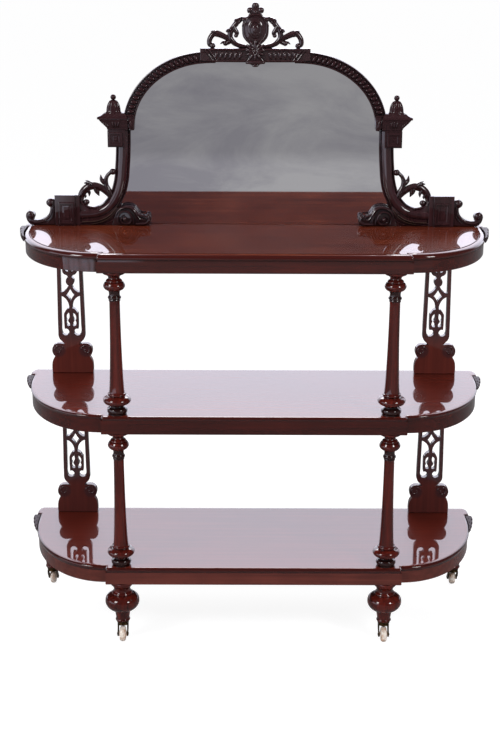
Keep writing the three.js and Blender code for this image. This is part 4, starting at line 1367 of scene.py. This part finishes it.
# the scrolls: a board cut to outline, eyes (across, up, radius, depth) and strokes (line, widths, depth)
scrolls = {
    "back": 170.5,
    "outer": {
        "front": 150.5,
        "rounding": 2.6,
        "eyesAt": 151.5,
        "strokesAt": 151.5,
        "eyes": ((508.0, 56.4, 8.2, 9.0), (558.6, 25.0, 8.6, 9.0)),
        "outline": (
            (495.5, 0.2, 1), (495.5, 60), (501, 66), (509, 66.4), (516.4, 62), (517.8, 54.6), (513, 48),
            (508.6, 45.2, 1), (509.4, 37), (513.6, 27.4), (521.6, 19.6), (533, 14.6), (545, 13.2),
            (549.6, 14.6), (547.4, 22), (549.6, 30.4), (556.6, 35.6), (564.6, 34), (569.4, 27.4),
            (568.8, 16), (563.6, 6), (556, 0.2, 1),
        ),
        "strokes": (
            (((505, 41), (506, 32), (511, 22), (520, 14), (533, 8.6), (548, 7.4), (559, 11)),
             (5.0, 6.0, 6.0, 4.0), 9.0),
            (((500.6, 50), (501, 34), (506, 17), (516, 6.4)), (4.0, 4.6, 3.0), 8.0),
        ),
    },
    "inner": {
        "front": 151.5,
        "rounding": 2.4,
        "eyesAt": 147.0,
        "strokesAt": 150.0,
        "eyes": ((323.0, 17.4, 5.6, 13.0),),
        "outline": (
            (356, 0.2, 1), (349, 22, 1), (339, 38), (328, 46.4), (314, 49.6), (302, 46.6), (293.6, 38),
            (287, 29), (281.6, 22), (276.6, 19.6), (272, 22.4), (267.4, 27.6), (262, 26.2), (258.6, 19.2),
            (259.4, 10), (265, 3), (272, 0.2, 1),
        ),
        "strokes": (
            # the long scroll over the top and down to the small one
            (((346, 24), (340, 36), (328, 44.4), (313, 46.4), (301, 40.6), (293.6, 30), (287, 19.6),
              (279, 14.6)),
             (4.0, 7.0, 8.4, 8.4, 8.0, 6.0), 11.0),
            # the spiral
            (((338, 5), (341, 16), (337.4, 28), (327, 35.4), (314, 33), (307.4, 23), (308.4, 12),
              (316, 5.4), (326, 5.6), (332, 12), (331.4, 21),
              (324, 26.4)), (3.4, 5.4, 6.2, 6.4, 6.0, 5.0, 4.2, 3.4), 11.0),
            # the small scroll at the tip
            (((296, 4), (285, 5), (274, 5.2), (266.4, 10), (264.4, 17.4), (268.4, 22.6), (273.6, 19.4)),
             (6.4, 7.4, 7.0, 6.4, 5.4, 4.4), 11.0),
            # fronds between them
            (((303, 36), (297, 24), (292.6, 10)), (3.0, 5.6, 4.0), 11.0),
            (((309, 41), (300, 33), (294.6, 24), (289, 10)), (2.6, 4.4, 4.4, 3.0), 11.0),
            (((306, 28), (302.6, 16), (301.4, 4)), (2.6, 5.0, 3.6), 11.0),
            (((293, 31), (285, 26), (278, 24.4), (272, 27)), (4.6, 5.0, 4.4, 2.0), 11.0),
        ),
    },
}


def carvedScroll(plan):
    parts = [plate([above(plan["outline"])], plan["front"], scrolls["back"], plan["rounding"])]
    for x, h, radius, depth in plan["eyes"]:
        parts.append(ball(radius, x, topZ + h, plan["eyesAt"], depth))
    for line, widths, depth in plan["strokes"]:
        parts.append(roll(above(line), widths, depth, plan["strokesAt"]))
    return joined("scroll", parts)


def outerScroll():
    return carvedScroll(scrolls["outer"])


def innerScroll():
    return carvedScroll(scrolls["inner"])


leafStrokes = (
    (((416.6, 58.4), (420.6, 50.6), (427.0, 48.4), (432.0, 53.6), (433.0, 63), (430.0, 75.5), (420.6, 89.0),
      (405.8, 97.0), (388, 95.6), (371.1, 85.6), (355, 69.5)),
     (9.0, 10.0, 12.4, 15.0, 17.6, 19.0, 18.4, 16.6, 15.0)),
    (((353, 68.5), (362.6, 86.6), (369.4, 105.0), (366.4, 121.0), (356.0, 132.6)),
     (13.0, 14.6, 12.4, 10.0, 9.0)),
    (((402, 99), (412, 104.6), (423.4, 104.6)), (15.0, 11.0, 2.4)),
    (((404, 103), (413, 109.0), (419.4, 111.4)), (9.0, 6.0, 1.6)),
    (((394, 95), (391.4, 84), (386.6, 72.6)), (17.0, 14.0, 2.0)),
    (((372, 104), (379.4, 113.4), (381.6, 125.6)), (11.6, 10.6, 2.0)),
    (((416, 89), (411.4, 81), (411.4, 71.6)), (11.6, 8.8, 2.0)),
    (((426, 80), (420.4, 72), (422.4, 66.6)), (8.0, 5.6, 1.6)),
)
leaf = {
    "middle": 160.5,
    "depth": 15.0,
    "ridge": 0.3,
    "eyes": ((418.6, 57.6, 7.8), (351.4, 133.4, 8.2)),   # across, up, radius
    "eyeDepth": 17.0,
}


def piercedLeaf():
    parts = [roll(above(line), widths, leaf["depth"], leaf["middle"], leaf["ridge"])
             for line, widths in leafStrokes]
    for x, h, radius in leaf["eyes"]:
        parts.append(ball(radius, x, topZ + h, leaf["middle"], leaf["eyeDepth"]))
    return joined("leaf", parts)


makers = (
    (mirrorUpright, "mirror_upright", "piece", "frameWood"),
    (uprightPlinth, "mirror_upright", "plinth", "frameWood"),
    (highlightedReeds, "mirror_upright", "reeds", "highlightedReedWood"),
    (mirrorArch, "mirror_arch", "piece", "softCarving"),
    (mirrorCapital, "capital", "piece", "softCarving"),
    (mirrorFinial, "finial", "piece", "softCarving"),
    (outerScroll, "outer_scroll", "piece", "carving"),
    (innerScroll, "inner_scroll", "piece", "carving"),
    (piercedLeaf, "pierced_leaf", "piece", "carving"),
)
for maker, node, label, finish in makers:
    onBothSides(maker(), node, finish, label)
print("mirror frame sides made")

# Crown rail and crest; crest heights are in mm above the rail
crownLobes = {"pitch": 11.6, "start": 36.0, "end": 96.0}


def crownRail():
    low, high = mirror["rail"]
    half = mirror["railHalf"]
    outline = ((-half, low + 4, 1), (-half, high, 1), (half, high, 1), (half, low + 4, 1),
               (half - 22, low, 1), (0, low - 0.5, 1), (-half + 22, low, 1))
    parts = [plate([above(outline)], mirror["front"] + 2.6, mirror["back"], 1.2, angle=12)]
    for rise, thick in ((low + 3.6, 6.0), (high - 3.2, 6.0)):
        parts.append(roll(above(((-half + 16, rise), (0, rise), (half - 16, rise))), (thick, thick), 6.4,
                          mirror["front"] + 3.4))
    across = crownLobes["start"]
    while across < crownLobes["end"]:
        for side in (-1, 1):
            parts.append(knuckle(side * across, topZ + (low + high) / 2, 21.0, 8.4, 90 + side * 18,
                                 mirror["front"] + 3.0, 9.0))
        across += crownLobes["pitch"]
    for side in (-1, 1):
        # the ribbon that crosses each end
        for shift in (0, 9):
            line = ((side * (124 - shift), high - 1.6), (side * (113 - shift), low + 20),
                    (side * (100 - shift), low + 3))
            parts.append(roll(above(line), (5.0, 6.6, 5.0), 8.0, mirror["front"] + 3.4))
    finished(joined("rail", parts), "crown_rail", "carving")


crestBody = (
    (13.4, -2, 1), (13.8, 7.9), (22.4, 17), (29.6, 27), (31.8, 38), (31.6, 55.4), (30.4, 63.0),
    (33.0, 70.0, 1), (35.2, 74.6, 1), (28.0, 73.2), (20.2, 74.2), (15.0, 78.4), (12.8, 83.0, 1),
    (17.0, 82.2), (20.0, 86.6), (19.6, 92.6), (14.6, 96.0), (9.0, 95.4, 1), (8.8, 100.6), (5.6, 105.6),
    (0, 107.0))
crestStrokes = (
    (((29, 68), (36.4, 66.6), (42.6, 62.6), (47.6, 56), (54, 48.6), (59.0, 40), (60.4, 27.0), (55.0, 16.4),
      (44.0, 8.4), (26.0, 3.2),
      (8.0, 0)), (7.0, 13.6, 13.0, 14.0, 12.0, 14.6, 13.0, 13.6, 12.6, 12.4, 9.0)),
    (((53, 52), (49.0, 43.6), (44.8, 36.4), (44.8, 30.6)), (12.0, 12.4, 12.0, 9.0)),
    (((58, 17), (66, 22.3), (79.6, 29.4), (92.2, 33.6), (100, 33.0), (106.2, 27.0), (110.4, 17.0),
      (109.2, 7.6),
      (103.4, 4.4)), (12.0, 12.6, 14.0, 15.4, 13.6, 12.6, 12.4, 11.4, 9.0)),
    (((92, 34), (100, 38.6), (107.0, 38.4)), (11.0, 8.4, 1.8)),
    (((60, 38), (64.6, 43), (67.0, 40)), (8.0, 8.0, 7.0)),
    (((58, 18), (65, 13.4), (71.0, 10.4)), (12.0, 11.0, 9.0)),
    (((70, 12), (77, 14.0), (84.6, 9.6)), (9.0, 7.4, 1.8)),
    (((40, 65), (46, 66.4), (50, 62)), (9.0, 7.0, 5.0)),
)
keystone = ((0, -43.4), (6.0, -42.6), (10.4, -38.0), (16.6, -36.4), (22.6, -35.6), (24.0, -31.6),
            (19.6, -27.0), (16.0, -20.0), (14.0, -12.0), (13.0, -4.0), (12.0, 4.0, 1))

# knobs on the lobes: across, up, radius
crestKnobs = ((0, 99.6, 6.6), (12.8, 89.2, 6.4), (-12.8, 89.2, 6.4), (0, 85, 6.0))
# eyes of the scrolls on each side, and strokes of (across, up, length, width, angle)
crestEyes = ((46.4, 29.8, 5.4), (103.4, 5.8, 7.4), (71.8, 11.6, 6.6), (66.9, 40.4, 4.4), (40.6, 61.6, 5.6))
crestCuts = ((26, 68, 16, 6, 160), (28.6, 57, 16, 6, 110), (14, 78, 14, 5, 120))
cabochon = {
    "rise": 46,
    # width, height, forward, depth, segments
    "domes": ((40.0, 50.0, 1.5, 11.0, 32), (15.0, 21.0, -3.4, 5.0, 20)),
    # rings round them: half width, half height, degrees to each side, widths, depth, forward
    "rings": ((27, 33, 150, (3.6, 4.8, 5.4, 4.8, 3.6), 7.0, 1.0), (12.6, 16.4, 180, (2.2, 2.2), 3.0, -2.8)),
}
# the keystone's front, and the egg shapes across it: up, length, width, place in depth, segments
keystoneFront = 144.4
keystoneEggs = ((-32.4, 44.0, 9.6, 144.0, 24), (-39.4, 16.0, 8.0, 144.6, 12))
# (length, angle) of each blade of the leaf over the rail
spilledLeaf = ((30, 90), (27, 64), (27, 116), (27, 38), (27, 142), (25, 10), (25, 170), (23, -20), (23, 200),
               (24, -52), (24, 232), (22, -90))


def overRail(points):
    return [(point[0], topZ + mirror["rail"][1] + point[1], *point[2:]) for point in points]


def crest():
    base = topZ + mirror["rail"][1]
    front, back = mirror["crestFront"], mirror["crestBack"]
    middle = (front + back) / 2
    parts = [plate([overRail(bothHalves(crestBody))], front, back, 2.6)]
    rise = cabochon["rise"]
    for width, height, forward, depth, segments in cabochon["domes"]:
        parts.append(knuckle(0, base + rise, width, height, 0, front + forward, depth, segments))
    for wide, tall, degrees, widths, depth, forward in cabochon["rings"]:
        turns = [math.radians(turn) for turn in range(-degrees, degrees + 1, 30)]
        ring = [(wide * math.sin(turn), rise + tall * math.cos(turn)) for turn in turns]
        parts.append(roll(overRail(ring), widths, depth, front + forward))
    for x, h, size in crestKnobs:
        parts.append(ball(size, x, base + h, front + 2.0, 9.0))
    for side in (1, -1):
        for line, widths in crestStrokes:
            parts.append(roll(overRail([(side * x, h) for x, h in line]), widths, 13.6, middle, 0.26))
        for x, h, size in crestEyes:
            parts.append(ball(size, side * x, base + h, middle, 15.0))
        for x, h, length, width, angle in crestCuts:
            slant = side * (angle - 90) + 90
            parts.append(knuckle(side * x, base + h, length, width, slant, front + 1.0, 7.0))
    # the leaf that spills over the rail, and the keystone below it
    parts.append(plate([overRail(bothHalves(keystone))], keystoneFront, front + 2.0, 2.6))
    for h, length, width, middle, segments in keystoneEggs:
        parts.append(knuckle(0, base + h, length, width, 0, middle, 7.0, segments))
    for reach, angle in spilledLeaf:
        turn = math.radians(angle)
        x, h = reach * 0.52 * math.cos(turn), reach * 0.52 * math.sin(turn) - 7
        parts.append(knuckle(x, base + h, reach, 7.6, angle, 144.6, 8.4))
    parts.append(ball(5.0, 0, base - 6, 143.6, 6.0))
    finished(joined("crest", parts), "crest", "carving")


crownRail()
crest()
print("crown made")

# Leaf ears at the ends of the shelves; places are (across, depth) in mm
ear = {
    "gap": 0.3,
    "steps": 40,
    "lobes": 4,
    # (depth, how far the leaf stands out, how tall it is)
    "top": ((16.2, 0.8, 13.0), (30.0, 4.0, 15.0), (50.0, 6.8, 17.0), (80.0, 9.4, 20.0), (105.0, 12.0, 23.0),
            (125.0, 15.6, 25.0), (140.0, 17.6, 26.0), (151.0, 16.6, 26.0)),
    "middle": ((46.0, 0.8, 5.0), (60.0, 4.2, 8.0), (80.0, 8.0, 12.0), (105.0, 12.4, 17.0),
               (128.0, 16.4, 22.0), (142.0, 17.6, 26.0), (149.0, 16.8, 26.0)),
    # share of the reach, and of the height below the shelf top
    "rings": ((0.4, 1.0), (0.58, 0.95), (0.74, 0.82), (0.88, 0.64), (0.97, 0.44), (1.0, 0.26), (0.97, 0.14),
              (0.9, 0.08), (0.8, 0.05)),
    "notch": 4.6,
    "thinnest": 0.6,
}
ear["bottom"] = ear["middle"]


def earInner(depth):
    lift = max(0.0, frontY + shelf["breakStep"] + shelf["endDepth"] - depth) / shelf["endDepth"]
    return shelf["centreHalf"] + shelf["endReach"] * math.sqrt(1 - lift * lift) + ear["gap"]


# Depth, reach and height of the leaf at a share of its length
def earLine(tier, along):
    line = ear[tier]
    depth = line[0][0] + (line[-1][0] - line[0][0]) * along
    for (y0, r0, t0), (y1, r1, t1) in zip(line, line[1:]):
        if y0 <= depth <= y1 + 0.001:
            share = (depth - y0) / (y1 - y0)
            break
    lobe = abs(math.sin(math.pi * ear["lobes"] * along))
    notch = ear["notch"] * min(1.0, 3 * along, 4 - 4 * along) * (1 - lobe) ** 2
    return depth, r0 + (r1 - r0) * share - notch, t0 + (t1 - t0) * share


def earOutline(lines, share):
    outer = [(earInner(y) + max(ear["thinnest"], reach * share), y) for y, reach, tall in lines]
    return outer + [(earInner(y), y) for y, reach, tall in reversed(lines)]


def leafEar(tier, index):
    steps = ear["steps"]
    lines = [earLine(tier, k / steps) for k in range(steps + 1)]
    piece = stacked([(earOutline(lines, share), -drop) for share, drop in ear["rings"]], 40)
    # each ring was laid level at its share of the height; let it fall with the leaf
    first, last = lines[0][0], lines[-1][0]
    for vertex in piece.data.vertices:
        along = (vertex.co.y / mm - first) / (last - first)
        tall = earLine(tier, min(max(along, 0.0), 1.0))[2]
        vertex.co.z = boardTop[index] * mm + vertex.co.z * tall
    parts = [settle(piece, tidy=False, angle=50)]
    # veins that curl out into the lobes
    for k in range(ear["lobes"]):
        depth, reach, tall = earLine(tier, (k + 0.5) / ear["lobes"])
        vein = knuckle(0, 0, 5 + reach * 1.1, 4.0, 0, 0, 4.0)
        vein.rotation_euler = (0, math.radians(38), math.radians(48))
        vein.location = ((earInner(depth) + reach * 0.6) * mm, depth * mm,
                         (boardTop[index] - tall * 0.3) * mm)
        parts.append(settle(vein, tidy=False, angle=60))
    onBothSides(joined("ear", parts), tier + "_leaf_ear", "dullCarving")


for index, tier in enumerate(tiers):
    leafEar(tier, index)
print("ears made")

# Castors, modelled under one foot and copied to the others
castor = {
    "trail": 10.0,
    "axle": 19.0,
    "cup": ((9.0, 45.8), (12.4, 45.8), (14.0, 46.4), (14.9, 47.6), (14.9, 48.8), (14.0, 49.6), (14.0, 50.8),
            (14.8, 51.6), (14.6, 52.4), (12.0, 52.5)),
    "crown": ((8.0, 40.6), (11.6, 40.7), (13.0, 41.6), (13.2, 43.2), (12.2, 44.6), (9.6, 45.4), (6.0, 45.5)),
    "leg": ((-7.0, 45.0, 1), (-10.4, 42.0), (-9.6, 34.0), (-4.0, 26.0), (2.6, 18.6), (6.0, 13.8),
            (10.0, 12.4), (14.6, 14.2), (16.4, 19.0), (14.4, 24.0), (9.4, 29.0), (6.8, 36.0),
            (7.6, 45.0, 1)),
    "legOut": 11.7,
    "legThick": 3.2,
    "wheel": ((4.0, -9.2), (6.6, -9.2), (7.4, -8.6), (8.2, -7.6), (12.6, -7.4), (15.4, -7.0), (17.6, -5.6),
              (18.7, -3.4), (19.0, 0), (18.7, 3.4), (17.6, 5.6), (15.4, 7.0), (12.6, 7.4), (8.2, 7.6),
              (7.4, 8.6), (6.6, 9.2), (4.0, 9.2)),
    "pin": ((0.6, -14.6), (2.8, -14.4), (3.8, -13.4), (3.8, -13.0), (3.4, -12.8), (3.4, 12.8), (3.8, 13.0),
            (3.8, 13.4), (2.8, 14.4), (0.6, 14.6)),
}


# Turned about a level line that runs from side to side
def turnedAcross(profile, depth, height, segments):
    piece = turned(profile, 0, 0, segments)
    piece.rotation_euler = (0, math.pi / 2, 0)
    piece.location = (0, depth * mm, height * mm)
    return settle(piece, tidy=False)


def castorFork():
    parts = [turned(castor["crown"], 0, 0, 32)]
    for side in (-1, 1):
        leg = plate([castor["leg"]], -castor["legThick"] / 2, castor["legThick"] / 2, 0.8)
        leg.rotation_euler = (0, 0, math.pi / 2)
        leg.location = (side * castor["legOut"] * mm, 0, 0)
        parts.append(settle(leg, tidy=False))
    parts.append(turnedAcross(castor["pin"], castor["trail"], castor["axle"], 20))
    return joined("fork", parts)


castorParts = (("cup", "brass", turned(castor["cup"], 0, 0, 32)), ("fork", "brass", castorFork()),
               ("wheel", "china", turnedAcross(castor["wheel"], castor["trail"], castor["axle"], 40)))
for kind, finish, first in castorParts:
    for label, side in sides:
        for end, (x, y) in feet.items():
            each = copied(first, "castor")
            if end == "front":
                each.rotation_euler = (0, 0, math.pi)
            each.location = (side * x * mm, y * mm, 0)
            settle(each, tidy=False)
            finished(each, f"castor_{kind}_{end}_{label}", finish)
    bpy.data.objects.remove(first)
print("castors made")

# Mirror plate and the boards behind it
mirrorPlate = {
    "side": 335.0,
    "shoulder": 118.0,
    "front": 172.6,
    "thick": 3.0,
    "overlap": 12.0,
    "lean": 1.9,    # degrees
}
backBoards = {
    "side": 343.0,
    "shoulder": 118.0,
    "front": 177.2,
    "back": 185.0,
    "overlap": 22.0,
    "boards": 6,
    "battens": ((62.0, 309.0), (300.0, 270.0)),     # height, half length
    "battenWidth": 34.0,
    "battenBack": 193.0,
    "battenSink": 0.2,
}


# The right edge of a plate behind the frame, from the shelf up to the crown
def plateEdge(plan, steps=12):
    x, h = mirror["archMiddle"]
    out = plan["overlap"] - mirror["archWidth"] / 2
    line = [(plan["side"], 0.6), (plan["side"], plan["shoulder"]), archPoint(0, out)]
    line += [archPoint(math.pi / 2 * k / steps, out) for k in range(1, steps + 1)]
    return line


def mirrorGlass():
    edge = [(x, h, 1) for x, h in plateEdge(mirrorPlate)]
    front = mirrorPlate["front"]
    piece = plate([above(bothHalves(edge))], front, front + mirrorPlate["thick"], 0.3, 1)
    # the plate leans forward a little in its rebate
    lean = math.tan(math.radians(mirrorPlate["lean"]))
    for vertex in piece.data.vertices:
        vertex.co.y -= (vertex.co.z - topZ * mm) * lean
    settle(piece, tidy=False, angle=8)
    finished(piece, "mirror_glass", "glass")


def topAt(edge, x):
    if x <= edge[-1][0]:
        return edge[-1][1]
    for (x0, h0), (x1, h1) in zip(edge[1:], edge[2:]):
        if x1 <= x <= x0:
            return h0 + (h1 - h0) * (x0 - x) / (x0 - x1)
    return edge[1][1]


# The part of the right edge that lies over one board
def clippedEdge(low, high):
    edge = plateEdge(backBoards, 40)
    inside = [point for point in edge if low < point[0] < high]
    outline = [(low, edge[0][1], 1), (high, edge[0][1], 1)]
    if high < edge[0][0]:
        outline.append((high, topAt(edge, high), 1))
        inside = [point for point in inside if point[1] > topAt(edge, high)]
    else:
        inside = edge[1:2] + [point for point in inside if point[1] > edge[1][1]]
    outline += [(x, h, 1) for x, h in inside]
    return outline + [(low, topAt(edge, low), 1)]


def backPanel():
    width = 2 * backBoards["side"] / backBoards["boards"]
    parts = []
    for k in range(backBoards["boards"] // 2):
        outline = clippedEdge(width * k, min(width * (k + 1), backBoards["side"]))
        for side in (1, -1):
            parts.append(plate([above([(side * x, h, corner) for x, h, corner in outline])],
                               backBoards["front"], backBoards["back"], 1.0, 1))
    for rise, half in backBoards["battens"]:
        top = rise + backBoards["battenWidth"]
        outline = ((-half, rise, 1), (half, rise, 1), (half, top, 1), (-half, top, 1))
        parts.append(plate([above(outline)], backBoards["back"] - backBoards["battenSink"],
                           backBoards["battenBack"], 1.6, 1))
    finished(joined("boards", parts), "mirror_back_board", "pine")


mirrorGlass()
backPanel()
print("mirror plate and back boards made")

bpy.ops.object.select_all(action="DESELECT")
